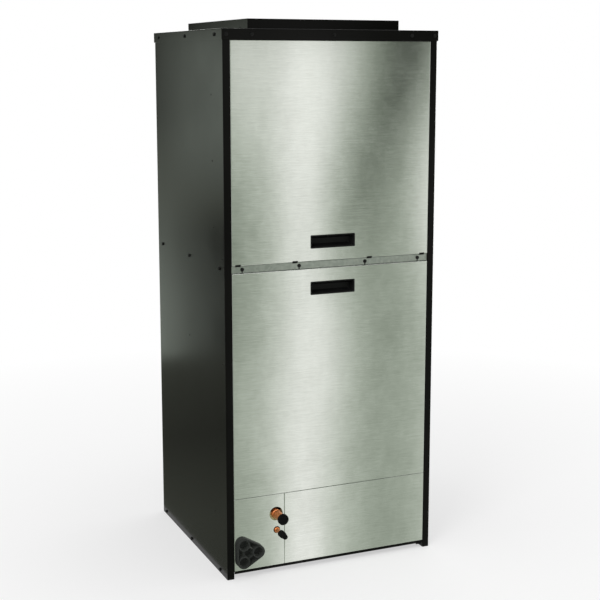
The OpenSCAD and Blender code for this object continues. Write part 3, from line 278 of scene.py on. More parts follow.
def fibrous(tree, look):
    mat = useGroup(tree, fibreGroup, Scale=look["scale"])
    return {"Sheen Weight": 0.25, "Specular IOR Level": 0.2, "Roughness": 0.95,
        # the deep colour fills the low places of the relief: painted shade in the hollows
        "Base Color": mixColours(tree, mat["Tone"], look["deep"], look["top"]),
        "Normal": relief(tree, mat["Height"], 0.9, look["relief"])}


def newFinish(name, build, look):
    finish = bpy.data.materials.new(name)
    finish.use_nodes = True
    tree = finish.node_tree
    for key, value in build(tree, look).items():
        feed(tree, tree.nodes["Principled BSDF"].inputs[key], value)
    return finish


finishes = {
    "stainless": newFinish("brushedStainless", stainless, {"dark": (0.66, 0.685, 0.64),
        "light": (0.88, 0.905, 0.865), "roughness": (0.165, 0.225)}),
    "black_enamel": newFinish("blackEnamel", enamel, {"dark": (0.0034, 0.0033, 0.0030),
        "light": (0.0050, 0.0049, 0.0044), "speck": (0.014, 0.014, 0.013),
        "bare": (0.05, 0.05, 0.047), "wear": 0.3, "gloss": 0.09, "roughness": (0.17, 0.23),
        "peel": 300.0, "bump": 0.03}),
    "motor_enamel": newFinish("motorEnamel", enamel, {"dark": (0.035, 0.038, 0.042),
        "light": (0.06, 0.064, 0.07), "speck": (0.1, 0.1, 0.11), "bare": 0.4, "wear": 0.5,
        "gloss": 0.5, "roughness": (0.3, 0.4), "peel": 900.0, "bump": 0.2}),
    "black_steel": newFinish("blackOxide", enamel, {"dark": 0.004,
        "light": (0.008, 0.008, 0.0075), "speck": 0.02, "bare": 0.12, "wear": 0.25,
        "gloss": 0.2, "roughness": (0.42, 0.52), "peel": 1500.0, "bump": 0.1}),
    "galvanised": newFinish("galvanisedSheet", zinc, {"dark": (0.36, 0.38, 0.40),
        "light": (0.62, 0.64, 0.66), "seam": (0.45, 0.47, 0.49), "size": 95.0,
        "roughness": (0.5, 0.34)}),
    # a darker, greener copy of the galvanised finish: painted shade for the recessed mid rail
    "rail_zinc_shaded": newFinish("railZincShaded", zinc, {"dark": (0.36, 0.39, 0.36),
        "light": (0.50, 0.53, 0.49), "seam": (0.42, 0.45, 0.42), "size": 160.0,
        "roughness": (0.42, 0.3)}),
    "bright_steel": newFinish("brightSteel", drawnMetal, {"clean": (0.62, 0.63, 0.64),
        "tarnish": 0.46, "line": (0.4, 0.4, 0.41), "stretch": (900, 60, 60),
        "roughness": (0.2, 0.32)}),
    "fin_aluminium": newFinish("finAluminium", drawnMetal, {"clean": (0.74, 0.75, 0.76),
        "tarnish": (0.6, 0.61, 0.62), "line": (0.5, 0.5, 0.52), "stretch": (80, 2, 80),
        "roughness": (0.34, 0.46)}),
    "copper": newFinish("drawnCopper", drawnMetal, {"clean": (1.0, 0.43, 0.19),
        "tarnish": (0.93, 0.28, 0.09), "line": (0.66, 0.20, 0.07), "stretch": (300, 25, 300),
        "roughness": (0.3, 0.46)}),
    "brass": newFinish("machinedBrass", drawnMetal, {"clean": (0.76, 0.56, 0.26),
        "tarnish": (0.5, 0.34, 0.14), "line": (0.4, 0.27, 0.11), "stretch": (60, 60, 900),
        "roughness": (0.22, 0.38)}),
    "black_plastic": newFinish("blackPlastic", moulded, {"dark": (0.005, 0.0052, 0.005),
        "light": (0.010, 0.0103, 0.010), "dust": (0.035, 0.035, 0.032), "gloss": 0.16,
        "roughness": (0.42, 0.55), "peel": 1100.0, "bump": 0.15}),
    "drain_plastic": newFinish("charcoalPlastic", moulded, {"dark": (0.026, 0.028, 0.026),
        "light": (0.040, 0.043, 0.040), "dust": (0.1, 0.1, 0.095), "gloss": 0.1,
        "roughness": (0.42, 0.55), "peel": 900.0, "bump": 0.2}),
    "black_rubber": newFinish("plugRubber", moulded, {"dark": 0.0035, "light": 0.006,
        "dust": (0.025, 0.025, 0.023), "gloss": 0.06, "roughness": (0.55, 0.7),
        "peel": 1600.0, "bump": 0.2}),
    "green_board": newFinish("boardGreen", moulded, {"dark": (0.012, 0.11, 0.045),
        "light": (0.03, 0.19, 0.08), "dust": (0.2, 0.3, 0.2), "gloss": 0.5,
        "roughness": (0.25, 0.35), "peel": 900.0, "bump": 0.1}),
    "black_foam": newFinish("closedFoam", fibrous, {"deep": 0.010,
        "top": (0.030, 0.030, 0.031), "scale": 900.0, "relief": 0.0006}),
    "glass_wool": newFinish("glassWool", fibrous, {"deep": (0.30, 0.25, 0.07),
        "top": (0.66, 0.62, 0.33), "scale": 210.0, "relief": 0.003}),
}
print("finishes built:", len(finishes))

for entry in frame["record"]["subparts"]:
    mesh = nodes[entry["node"]].data
    mesh.materials.clear()
    mesh.materials.append(finishes[entry["material_slot"]])


# mesh helpers

def addObject(name, data):
    item = bpy.data.objects.new(name, data)
    scene.collection.objects.link(item)
    return item


def addMesh(name, points, faces):
    mesh = bpy.data.meshes.new(name)
    mesh.from_pydata(points, [], faces)
    mesh.update()
    return addObject(name, mesh)


def newPiece(name, shells):
    # shells are lists of (points, faces) in cabinet millimetres
    points, faces = [], []
    for shellPoints, shellFaces in shells:
        start = len(points)
        points += [place(p) for p in shellPoints]
        faces += [[start + i for i in face] for face in shellFaces]
    return addMesh(name, points, faces)


def settle(piece, slot, node=None, sharp=35, body="cabinet", finish=None):
    # closes a piece: outward faces, soft shading, finish, body and the node it stands for
    shape = bmesh.new()
    shape.from_mesh(piece.data)
    bmesh.ops.remove_doubles(shape, verts=shape.verts, dist=1e-6)
    bmesh.ops.recalc_face_normals(shape, faces=shape.faces)
    for face in shape.faces:
        face.smooth = True
    shape.to_mesh(piece.data)
    shape.free()
    piece.data.set_sharp_from_angle(angle=math.radians(sharp))
    piece.data.materials.clear()
    piece.data.materials.append(finishes[finish or slot])
    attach(piece, body)
    if node:
        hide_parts(node)


def addPiece(name, shells, slot, *rest, **more):
    settle(newPiece(name, shells), slot, *rest, **more)


def cutAway(piece, shells):
    # cuts closed shells out of a piece
    cutters = [newPiece("cutter", [shell]) for shell in shells]
    for index, cutter in enumerate(cutters):
        cut = piece.modifiers.new("cut%d" % index, "BOOLEAN")
        cut.operation = "DIFFERENCE"
        cut.object = cutter
    bpy.context.view_layer.update()
    seen = piece.evaluated_get(bpy.context.evaluated_depsgraph_get())
    baked = bpy.data.meshes.new_from_object(seen)
    piece.modifiers.clear()
    piece.data = baked
    for cutter in cutters:
        bpy.data.objects.remove(cutter)


def boxShell(low, high):
    (x0, y0, z0), (x1, y1, z1) = low, high
    points = [(x, y, z) for x in (x0, x1) for y in (y0, y1) for z in (z0, z1)]
    return points, [(0, 1, 3, 2), (4, 6, 7, 5), (0, 4, 5, 1), (2, 3, 7, 6), (0, 2, 6, 4),
        (1, 5, 7, 3)]


def ring(centre, across, up, radius, sides):
    turns = [2 * math.pi * i / sides for i in range(sides)]
    return [centre + (across * math.cos(turn) + up * math.sin(turn)) * radius for turn in turns]


def pipeShell(points, radius, sides=16):
    # a round rod along a path
    path = [Vector(p) for p in points]
    verts, faces, side = [], [], None
    for i, point in enumerate(path):
        way = (path[min(i + 1, len(path) - 1)] - path[max(i - 1, 0)]).normalized()
        side = way.orthogonal() if side is None else side - way * side.dot(way)
        side.normalize()
        verts += ring(point, side, way.cross(side), radius, sides)
    for start in range(0, (len(path) - 1) * sides, sides):
        for k in range(sides):
            j = (k + 1) % sides
            faces.append((start + k, start + j, start + sides + j, start + sides + k))
    faces += [tuple(range(sides))[::-1], tuple(range(len(verts) - sides, len(verts)))]
    return verts, faces


def rodShell(start, radius, length, sides=32, way=inward):
    return pipeShell([start, Vector(start) + Vector(way) * length], radius, sides)


def latheShell(start, direction, section, sides=48):
    # turns a section of (distance along, radius) round an axis; a zero radius closes it
    axis = Vector(direction).normalized()
    across = axis.orthogonal().normalized()
    points, rings, faces = [], [], []
    for along, radius in section:
        count = sides if radius > 0 else 1
        rings.append([len(points) + i % count for i in range(sides)])
        points += ring(Vector(start) + axis * along, across, axis.cross(across), radius, count)
    for low, high in zip(rings, rings[1:]):
        for i in range(sides):
            j = (i + 1) % sides
            face = list(dict.fromkeys((low[i], low[j], high[j], high[i])))
            if len(face) > 2:
                faces.append(face)
    return points, faces


def softPath(points, radius, steps=4, hold=0.0):
    # a path, flat or in space, with its inner corners turned into arcs; hold keeps the flats
    # flat in the shading, by a point just outside each arc
    path = [Vector(p) for p in points]
    out = [path[0]]
    for before, corner, after in zip(path, path[1:], path[2:]):
        a, b = before - corner, after - corner
        wayA, wayB = a.normalized(), b.normalized()
        half = a.angle(b) / 2
        if half > 1.56:
            out.append(corner)
            continue
        run = min(radius / math.tan(half), 0.49 * a.length, 0.49 * b.length)
        bend = run * math.tan(half)
        centre = corner + (wayA + wayB).normalized() * (bend / math.sin(half))
        first = corner + wayA * run - centre
        last = corner + wayB * run - centre
        sweep = first.angle(last)
        if hold and a.length > run + 2 * hold:
            out.append(corner + wayA * (run + hold))
        out += [centre + (first * math.sin(sweep * (1 - i / steps))
            + last * math.sin(sweep * i / steps)) / math.sin(sweep) for i in range(steps + 1)]
        if hold and b.length > run + 2 * hold:
            out.append(corner + wayB * (run + hold))
    out.append(path[-1])
    return out


def sheetSides(points, thick, bend):
    # the two faces of a folded sheet whose middle runs along points
    path = softPath(points, bend, hold=0.8)
    left, right = [], []
    for i, point in enumerate(path):
        ends = [pair for pair in (path[max(i - 1, 0):i + 1], path[i:i + 2]) if len(pair) > 1]
        ways = [(b - a).normalized() for a, b in ends]
        total = sum((Vector((-way.y, way.x)) for way in ways), Vector((0, 0)))
        share = total * (thick * len(ways) / 2) / max(total.length_squared, 1e-9)
        left.append(point + share)
        right.append(point - share)
    return left, right


def foldedShell(points, thick, bend, axis, low, high):
    # a folded sheet drawn through the cabinet along "X" or "Z"
    left, right = sheetSides(points, thick, bend)
    count = len(left)
    verts = [(p.x, p.y, s) if axis == "Z" else (s, p.x, p.y)
        for s in (low, high) for side in (left, right) for p in side]
    faces = []
    for a in range(count - 1):
        b = a + 1
        faces += [(a, b, 2 * count + b, 2 * count + a),
            (count + b, count + a, 3 * count + a, 3 * count + b),
            (a, count + a, count + b, b),
            (2 * count + a, 2 * count + b, 3 * count + b, 3 * count + a)]
    faces += [(i, 2 * count + i, 3 * count + i, count + i) for i in (0, count - 1)]
    return verts, faces


def roundedRect(halfU, halfV, radius, steps=3):
    radius = max(min(radius, halfU, halfV), 0.01)
    hold = max(min(1.0, 0.4 * (min(halfU, halfV) - radius)), 0.005)
    loop = []
    for index, (su, sv) in enumerate(((1, 1), (-1, 1), (-1, -1), (1, -1))):
        for i, past in [(0, -hold)] + [(i, 0) for i in range(steps + 1)] + [(steps, hold)]:
            turn = math.pi / 2 * (index + i / steps)
            loop.append((su * (halfU - radius) + radius * math.cos(turn) - past * math.sin(turn),
                sv * (halfV - radius) + radius * math.sin(turn) + past * math.cos(turn)))
    return loop


def upright(x=0, z=0):
    # stands a loop up, parallel to the front
    return lambda u, v, depth: (x + u, depth, z + v)


def lying(x=0, y=0):
    # lays a loop level
    return lambda u, v, height: (x + u, y + v, height)


def loopShell(loops, toPoint, closed=False):
    # joins loops of equal length, given as (loop, depth); open ends are capped
    size, count = len(loops[0][0]), len(loops)
    points = [toPoint(u, v, depth) for loop, depth in loops for u, v in loop]
    faces = []
    for k in range(count if closed else count - 1):
        a, b = k * size, ((k + 1) % count) * size
        for i in range(size):
            j = (i + 1) % size
            faces.append((a + i, a + j, b + j, b + i))
    if not closed:
        faces += [tuple(range(size))[::-1], tuple(range((count - 1) * size, count * size))]
    return points, faces


def foldedRing(half, corner, path, bend, toPoint, least=-1, closed=True):
    # a sheet folded along a path of (grow, depth), led round a rectangle
    left, right = sheetSides(path, cabinet["sheet"], bend)
    return loopShell([(roundedRect(half[0] + p.x, half[1] + p.x, corner + max(p.x, least)), p.y)
        for p in left + right[::-1]], toPoint, closed)


# folded sheet steel of the cabinet

rivets = {"radius": 2.1, "height": 0.9, "at": ((87, 1253), (84, 1087), (82, 919), (18, 844),
    (286, 597), (20, 574), (88, 330), (95, 158))}


def domeShell(at, way, radius, height):
    # the low head of a rivet or a weld
    return latheShell(at, way, [(-0.4, 0), (-0.4, radius), (0.1, radius),
        (height * 0.6, radius * 0.86), (height * 0.92, radius * 0.5), (height, 0)], 16)


def sidePanel(side, word):
    c, t = cabinet, cabinet["sheet"]
    post, outer, back = c["post"] + t / 2, c["half"] - t / 2, c["depth"] - t / 2
    path = [(c["lip"], c["lipY"] + t / 2), (post, c["lipY"] + t / 2), (post, t / 2),
        (outer, t / 2), (outer, back), (c["half"] - c["rearFlange"], back)]
    shells = [foldedShell([(side * x, y) for x, y in path], t, c["bend"], "Z", 0, c["sideTop"])]
    x0, x1 = sorted((side * (c["half"] - 0.4), side * (c["half"] - c["rearFlange"])))
    for z in (0, c["sideTop"] - t):
        shells.append(boxShell((x0, c["lipY"] + 4, z), (x1, c["depth"] - 0.4, z + t)))
    addPiece(word + "SideSheet", shells, "black_enamel", word + "_side_panel")
    addPiece(word + "SideSheetRivets", [domeShell((side * c["half"], y, z), (side, 0, 0),
        rivets["radius"], rivets["height"]) for y, z in rivets["at"]], "black_steel")


sidePanel(-1, "left")
sidePanel(1, "right")

cap = {"hem": 8.0, "corner": 1.6, "bend": 0.7, "rim": 40.0}
collar = {"flange": 6.0, "corner": 1.5, "bend": 1.2, "spots": (-180, -60, 90), "spotUp": 6.0,
    "spotRadius": 2.4, "spotHeight": 1.0}


def capPiece():
    t = cabinet["sheet"]
    low, high = nodeBox("top_cap")
    half, centre = spanOf("top_cap")
    skirt, hem, top = -1.5 * t - 0.2, low.z + t / 2, high.z - t / 2
    path = [(skirt, low.z + cap["hem"]), (skirt, hem), (-t / 2, hem), (-t / 2, top),
        (-cap["rim"], top)]
    rim = foldedRing(half, cap["corner"], path, cap["bend"], lying(centre.x, centre.y), -1.2)
    # plates between the rim and the opening
    reach, inset = cap["rim"] - 0.1, collar["flange"] + t
    x, y0, y1 = half.x - reach, low.y + reach, high.y - reach
    holeX, front, back = collarBox[1].x - inset, collarBox[0].y + inset, collarBox[1].y - inset
    plates = [boxShell((a, b, high.z - t), (c, d, high.z)) for a, b, c, d in (
        (-x, y0, -holeX, y1), (holeX, y0, x, y1), (-holeX, y0, holeX, front),
        (-holeX, back, holeX, y1))]
    addPiece("capSheet", [rim] + plates, "black_enamel", "top_cap")


def collarPiece():
    t, flange = cabinet["sheet"], collar["flange"]
    low, high = collarBox
    y, halfU, halfV = (low.y + high.y) / 2, high.x - flange, (high.y - low.y) / 2 - flange
    path = [(flange, low.z + t / 2), (-t / 2, low.z + t / 2), (-t / 2, high.z)]
    addPiece("collarSheet", [foldedRing((halfU, halfV), collar["corner"], path, collar["bend"],
        lying(0, y))], "black_enamel", "supply_collar")
    addPiece("collarRivets", [domeShell((side * halfU, y + along, low.z + collar["spotUp"]),
        (side, 0, 0), collar["spotRadius"], collar["spotHeight"])
        for side in (-1, 1) for along in collar["spots"]], "black_steel")


capPiece()
collarPiece()

rail = {"slotHalf": 1.8, "slotDrop": 8.6, "holeRadius": 2.8, "screws": (-250, -94, 94, 250),
    "notchHalf": 7.5, "notchShift": 12.0, "notch": 2.6, "lap": 9.9, "bend": 0.9}
notchMiddles = [x + math.copysign(rail["notchShift"], x) for x in rail["screws"]]


def midRailPiece():
    t, lipY = cabinet["sheet"], cabinet["lipY"]
    low, high = nodeBox("mid_rail")
    z0, z1, face = low.z + rail["lap"], high.z - rail["lap"], low.y + t / 2
    sheet = newPiece("midRailSheet", [foldedShell([(lipY, z0 + t / 2), (face, z0 + t / 2),
        (face, z1 - t / 2), (lipY, z1 - t / 2)], t, rail["bend"], "X", low.x, high.x)])
    holes = []
    front, screwZ, half = low.y - 2, spanOf("rail_screws")[1].z, rail["slotHalf"]
    for x in rail["screws"]:
        holes.append(rodShell((x, front, screwZ), rail["holeRadius"], 5))
        holes.append(boxShell((x - half, front, screwZ - rail["slotDrop"]),
            (x + half, low.y + 3, screwZ)))
    half = rail["notchHalf"]
    for x in notchMiddles:
        holes.append(boxShell((x - half, front, z1 - rail["notch"]),
            (x + half, low.y + 5, z1 + 1)))
    cutAway(sheet, holes)
    # the rail and its lips take the darker zinc copy, painted shade of the recess
    settle(sheet, "galvanised", "mid_rail", finish="rail_zinc_shaded")
    lipX = cabinet["lip"] - 0.3
    addPiece("midRailLips", [boxShell((-lipX, lipY - 0.02, a), (lipX, lipY + t, b))
        for a, b in ((low.z, z0 + t), (z1 - t, high.z))], "galvanised", finish="rail_zinc_shaded")


midRailPiece()
print("cabinet sheets folded")


# front panels

panel = {"bend": 0.75, "corner": 1.2, "rim": 12.0, "flange": 19.0, "notch": 3.0,
    "holes": {"suction_plug": 18.5, "liquid_plug": 9.5}}
pull = {"rim": 2.5, "proud": 1.2, "corner": 2.2}
# black tongues placed behind the notches: dark pieces that stand in for the shade there
shadeTongue = {"thick": 0.7, "bend": 0.8, "slack": 0.4, "depth": 1.7, "below": 2.6, "rise": 7.0}


def trayPiece(name, node, holes=(), body="cabinet"):
    (half, centre), t = spanOf(node), cabinet["sheet"]
    tray = newPiece(name, [foldedRing((half.x, half.z), panel["corner"],
        [(-panel["rim"], t / 2), (-t / 2, t / 2), (-t / 2, panel["flange"])], panel["bend"],
        upright(centre.x, centre.z), closed=False)])
    cutAway(tray, holes)
    settle(tray, "stainless", node, 30, body)


def pullHole(node):
    low, high = nodeBox(node)
    rim = pull["rim"]
    return boxShell((low.x + rim, -3, low.z + rim), (high.x - rim, 30, high.z - rim))


def notchHoles():
    half, edge = rail["notchHalf"], upperBox[0].z
    return [boxShell((x - half, -2, edge - 2), (x + half, 3, edge + panel["notch"]))
        for x in notchMiddles]


def addNotchShadeTongues():
    # black sheet tongues in the notches: dark pieces that stand in for the shade seen through them
    t, half, edge = shadeTongue, rail["notchHalf"] - shadeTongue["slack"], upperBox[0].z
    path = [(t["depth"], edge - t["below"]), (t["depth"], edge + t["rise"]),
        (14, edge + t["rise"]), (16, edge + 2)]
    addPiece("panelClips", [foldedShell(path, t["thick"], t["bend"], "X", x - half, x + half)
        for x in notchMiddles], "black_steel", body="upper_panel")


def pipeHoles():
    holes = [(spanOf(node)[1], radius) for node, radius in panel["holes"].items()]
    return [rodShell((at.x, -3, at.z), radius, 30, 64) for at, radius in holes]


trayPiece("upperPanelSheet", "upper_access_panel", [pullHole("upper_pull")] + notchHoles(),
    "upper_panel")
addNotchShadeTongues()
trayPiece("lowerPanelSheet", "lower_access_panel", [pullHole("lower_pull")], "lower_panel")
trayPiece("pipePanelSheet", "fitting_panel", pipeHoles())
trayPiece("plainPanelSheet", "service_panel")


def pullPiece(word):
    half, centre = spanOf(word + "_pull")
    back, proud = centre.y + half.y, -pull["proud"]
    # (grow across, grow up, depth, drop of the middle)
    stations = [(-9.2, -7.3, back, 0), (-8.9, -7.0, back - 0.6, 0), (-2.9, -2.9, 1.0, 0),
        (-2.9, -2.9, 0.0, 0), (0.0, 0.0, 0.0, 0), (0.0, 0.0, -0.7, 0), (-0.15, -0.15, -1.0, 0),
        (-0.5, -0.5, proud, 0), (-2.6, -2.6, proud, 0), (-3.0, -3.0, -1.0, 0),
        (-3.2, -3.2, -0.4, 0), (-4.6, -3.9, 5.0, -0.1), (-6.0, -7.4, 13.0, -1.4),
        (-8.6, -9.2, back - 3.4, -1.0), (-10.4, -10.4, back - 1.8, -0.8),
        (-12.5, -12.0, back - 1.6, -0.8)]
    loops = [([(u, v + drop) for u, v in roundedRect(half.x + growU, half.z + growV,
        pull["corner"] + max(growU, -0.8), 4)], depth) for growU, growV, depth, drop in stations]
    addPiece(word + "PullCup", [loopShell(loops, upright(centre.x, centre.z))], "black_plastic",
        word + "_pull", 50, word + "_panel")


pullPiece("upper")
pullPiece("lower")
print("front panels and pulls built")


# pipe stubs, plugs and the drain fitting

pipes = {"wall": 1.1, "suction": 11.11, "liquid": 4.76, "suctionCross": 66.0,
    "liquidBack": 40.0, "liquidBend": 15.0}


def stubShell(at, radius, sleeve, front, reach, bore, sides):
    # an open tube end with its rolled edge, and the swaged sleeve at the panel
    inside = radius - pipes["wall"]
    return latheShell(at, inward, [(bore, 0), (bore, inside), (0.5, inside),
        (0.1, inside + 0.3), (0, radius - 0.4), (0.4, radius), (front - 1.6, radius),
        (front - 0.4, sleeve - 0.2), (front, sleeve), (front + 22, sleeve),
        (front + 23.5, radius), (reach, radius), (reach, 0)], sides)


def suctionPiece():
    low, high = nodeBox("suction_line")
    x, z = spanOf("suction_plug")[1].x, (low.z + high.z) / 2
    r, cross = pipes["suction"], pipes["suctionCross"]
    stub = stubShell((x, low.y, z), r, r + pipes["wall"], -4 - low.y, cross - low.y, 90, 64)
    trunk = rodShell((low.x, cross, z), r, high.x - low.x, 48, (1, 0, 0))
    braze = latheShell((x, cross - 15, z), inward, [(0, 11.0), (1.5, 11.8), (3.5, 12.4),
        (5, 12.0), (5, 11.0)])
    addPiece("suctionPipe", [stub, trunk, braze], "copper", "suction_line")


def liquidPiece():
    low, high = nodeBox("liquid_line")
    at, r, back = spanOf("liquid_plug")[1], pipes["liquid"], pipes["liquidBack"]
    stub = stubShell((at.x, low.y, at.z), r, r + 2 * pipes["wall"], -3 - low.y, 50, 30, 40)
    route = softPath([(at.x, low.y + 49, at.z), (at.x, back, at.z), (0, back, at.z),
        (0, back, high.z)], pipes["liquidBend"], 8)
    addPiece("liquidPipe", [stub, pipeShell(route, r, 24)], "copper", "liquid_line")


suctionPiece()
liquidPiece()


def plugPiece(word, stem, section):
    # section runs from the pipe's end outwards: (along, radius)
    node = word + "_plug"
    half, centre = spanOf(node)
    head = section[-1][0]
    back = 2 * half.y - head
    path = [(-back, 0), (-back, stem - 0.6), (0.6 - back, stem), (0, stem)] + section + [(head, 0)]
    shell = latheShell((centre.x, centre.y - half.y + head, centre.z), outward, path)
    addPiece(word + "Cap", [shell], "black_rubber", node, 40, node)


plugPiece("suction", 9.7, [(0, 13.6), (0.5, 14.3), (1.2, 14.5), (7.0, 14.5), (8.0, 14.2),
    (8.7, 13.4), (9.0, 12.4)])
plugPiece("liquid", 3.3, [(0, 8.0), (0.4, 8.7), (1.0, 9.0), (14.0, 9.0), (16.0, 8.9), (19.0, 8.3),
    (22.0, 7.5), (24.5, 7.1), (30.6, 6.8), (31.8, 6.5), (32.4, 5.9), (32.7, 5.2)])

drain = {"centres": ((38.5, 51.0), (38.5, 97.0), (78.0, 74.0)), "shroud": 18.0, "wall": 2.5,
    "reach": 24.0, "floor": 3.0, "socket": 15.7, "bore": 13.4, "depth": 22.0, "spigot": 10.0,
    "hole": 6.0, "web": 1.6}
drainAt = [Vector((x - cabinet["half"], z)) for x, z in drain["centres"]]


def drainHoles(radius, front, length):
    return [rodShell((c.x, front, c.y), radius, length) for c in drainAt]


def hullLoop(radius, steps=8):
    # the outline round the three sockets, with the same count of points for any radius
    middle = sum(drainAt, Vector((0, 0))) / 3
    turned = sorted(drainAt, key=lambda c: math.atan2(c.y - middle.y, c.x - middle.x))
    loop = []
    for before, centre, after in zip(turned[-1:] + turned, turned, turned[1:] + turned[:1]):
        start = math.atan2(centre.y - before.y, centre.x - before.x) - math.pi / 2
        end = math.atan2(after.y - centre.y, after.x - centre.x) - math.pi / 2
        sweep = (end - start) % (2 * math.pi)
        for k in range(steps + 1):
            turn = start + sweep * k / steps
            loop.append((centre.x + radius * math.cos(turn), centre.y + radius * math.sin(turn)))
    return loop


def drainPiece():
    d, tip = drain, -drain["reach"]
    outer, inner = d["shroud"], d["shroud"] - d["wall"]
    stations = [(outer - 0.3, 0), (outer, -0.4), (outer - 0.2, tip + 0.9), (outer - 0.5, tip + 0.3),
        (outer - 1.0, tip), (inner + 0.6, tip), (inner + 0.1, tip + 0.5), (inner, tip + 1.2),
        (inner - 0.3, -d["floor"] - 0.6), (inner - 0.9, -d["floor"])]
    shells = [loopShell([(hullLoop(radius), depth) for radius, depth in stations], upright())]
    for a, b in zip(drainAt, drainAt[1:] + drainAt[:1]):
        # a web between two sockets
        along = (b - a).normalized()
        across = Vector((-along.y, along.x)) * d["web"] / 2
        a, b = a + along * (d["socket"] - 1), b - along * (d["socket"] - 1)
        loop = (a - across, b - across, b + across, a + across)
        shells.append(loopShell([(loop, -d["floor"]), (loop, tip + 4)], upright()))
    addPiece("drainShroud", shells, "black_plastic", "drain_block", 50, finish="drain_plastic")
    back, socket, bore = nodeBox("drain_block")[1].y, d["socket"], d["bore"]
    end = back + d["reach"]
    section = [(0, d["hole"]), (0, d["spigot"] - 0.8), (1, d["spigot"]), (back, d["spigot"]),
        (back + 1, socket), (end - 0.8, socket - 0.1), (end - 0.2, socket - 0.5),
        (end, socket - 0.9), (end, bore + 0.5), (end - 0.7, bore + 0.05), (end - d["depth"], bore),
        (end - d["depth"], d["hole"]), (0, d["hole"])]
    addPiece("drainSockets", [latheShell((c.x, back, c.y), outward, section, 64)
        for c in drainAt], "black_plastic", sharp=50, finish="drain_plastic")


drainPiece()
for name in ("suctionPipe", "suctionCap", "liquidPipe", "liquidCap", "drainShroud", "drainSockets"):
    bpy.data.objects[name].visible_glossy = False  # keeps the steel beside them clean
print("stubs, plugs and drain fitting built")


# glass wool and foam

wool = {"step": 15.0, "round": 5.0, "rough": 1.8, "lumps": 0.045,
    "clipRows": (150, 320, 490, 660, 910, 1060, 1210), "clipDepths": (95, 285, 470),
    "clipAcross": (-200, 0, 200)}
# section: (share of the way in from the edge, share of the depth)
foam = {"front": cabinet["lipY"] - 3.6, "bar": 9.0,
    "section": ((0, 1), (0, 0.3), (0.1, 0.08), (0.3, 0), (0.7, 0), (0.9, 0.08), (1, 0.3), (1, 1))}


def spaced(low, high, step, edge):
    # places along one side of a pad, closer together at its rounded edges
    count = max(1, round((high - low - 2 * edge) / step))
    middle = [low + edge + (high - low - 2 * edge) * i / count for i in range(count + 1)]
    return [low, low + edge * 0.3] + middle + [high - edge * 0.3, high]


def padShell(low, high, step, edge, rough=0.0):
    # a slab with rounded edges, whose uneven faces never stand proud of its box
    marks = [spaced(low[i], high[i], step, edge) for i in range(3)]
    index, points, faces = {}, [], []

    def cornerAt(p):
        key = tuple(round(v, 3) for v in p)
        if key not in index:
            inner = Vector([min(max(p[i], low[i] + edge), high[i] - edge) for i in range(3)])
            dent = rough * min(1, max(0, 0.5 + noise.noise(p * wool["lumps"])
                + 0.4 * noise.noise(p * wool["lumps"] * 4)))
            index[key] = len(points)
            points.append(inner + (p - inner).normalized() * (edge - dent))
        return index[key]

    for axis in range(3):
        u, v = [i for i in range(3) if i != axis]
        for value in (low[axis], high[axis]):
            for u0, u1 in zip(marks[u], marks[u][1:]):
                for v0, v1 in zip(marks[v], marks[v][1:]):
                    face = []
                    for a, b in ((u0, v0), (u1, v0), (u1, v1), (u0, v1)):
                        p = Vector((value, value, value))
                        p[u], p[v] = a, b
                        face.append(cornerAt(p))
                    faces.append(face)
    return points, faces


def woolPiece(name, node, holes=(), body="cabinet", boxes=None):
    piece = newPiece(name, [padShell(low, high, wool["step"], wool["round"], wool["rough"])
        for low, high in boxes or [nodeBox(node)]])
    cutAway(piece, holes)
    settle(piece, "glass_wool", node, 60, body)


def clipShells(points, way):
    # weld pins whose dished washers press into the wool
    section = [(-12, 0), (-12, 1.2), (-1.5, 1.2), (-1.5, 12), (-0.6, 14.4), (-0.1, 14.8),
        (-0.3, 13.0), (-1.0, 6), (-1.1, 2.2), (-0.1, 1.9), (0.2, 1.2), (0.2, 0)]
    return [latheShell(p, way, section, 28) for p in points]


def makeWool():
    for word in ("upper", "lower"):
        woolPiece(word + "Wool", word + "_panel_liner", [pullHole(word + "_pull")],
            word + "_panel")
    woolPiece("pipeWool", "fitting_liner", pipeHoles() + drainHoles(drain["spigot"] + 0.5, -3, 30))
    woolPiece("plainWool", "service_liner")
    woolPiece("rearWool", "rear_liner")
    rows, face, brace = wool["clipRows"], nodeBox("rear_liner")[0].y, nodeBox("side_braces")
    clips = clipShells([(x, face, z) for x in wool["clipAcross"] for z in rows], outward)
    for side, word in ((-1, "left"), (1, "right")):
        # the wool on a side stops short of the brace at the middle screws
        low, high = nodeBox(word + "_liner")
        woolPiece(word + "Wool", word + "_liner", boxes=[
            (low, Vector((high.x, high.y, brace[0].z - 0.3))),
            (Vector((low.x, low.y, brace[1].z + 0.3)), high)])
        face = high.x if side < 0 else low.x
        clips += clipShells([(face, y, z) for y in wool["clipDepths"] for z in rows],
            (-side, 0, 0))
    addPiece("woolClips", clips, "galvanised")


def foamRing(zLow, zHigh):
    f, lip, outer = foam, cabinet["lip"], upperBox[1].x
    loops = [(roundedRect(outer + (lip - outer) * across, (zHigh - zLow) / 2 - f["bar"] * across,
        1.0, 2), f["front"] + (cabinet["lipY"] - f["front"]) * deep)
        for across, deep in f["section"]]
    return loopShell(loops, upright(0, (zLow + zHigh) / 2), closed=True)


def makeFoam():
    f, lip, back = foam, cabinet["lip"], cabinet["lipY"] + cabinet["sheet"]
    rings = [foamRing(box[0].z, box[1].z) for box in (upperBox, lowerBox, fittingBox)]
    strips = [padShell((-lip, f["front"], z), (lip, back, z + f["bar"]), 12, 1.2, 0.4)
        for z in (lowerBox[0].z, fittingBox[1].z - f["bar"])]
    addPiece("panelFoam", rings + strips, "black_foam", "panel_gaskets", 50)


tuft = {"from": 160, "steps": 15, "arc": 16.2, "depth": 6.4, "radius": 4.7, "lumps": 260,
    "bulge": 0.9}


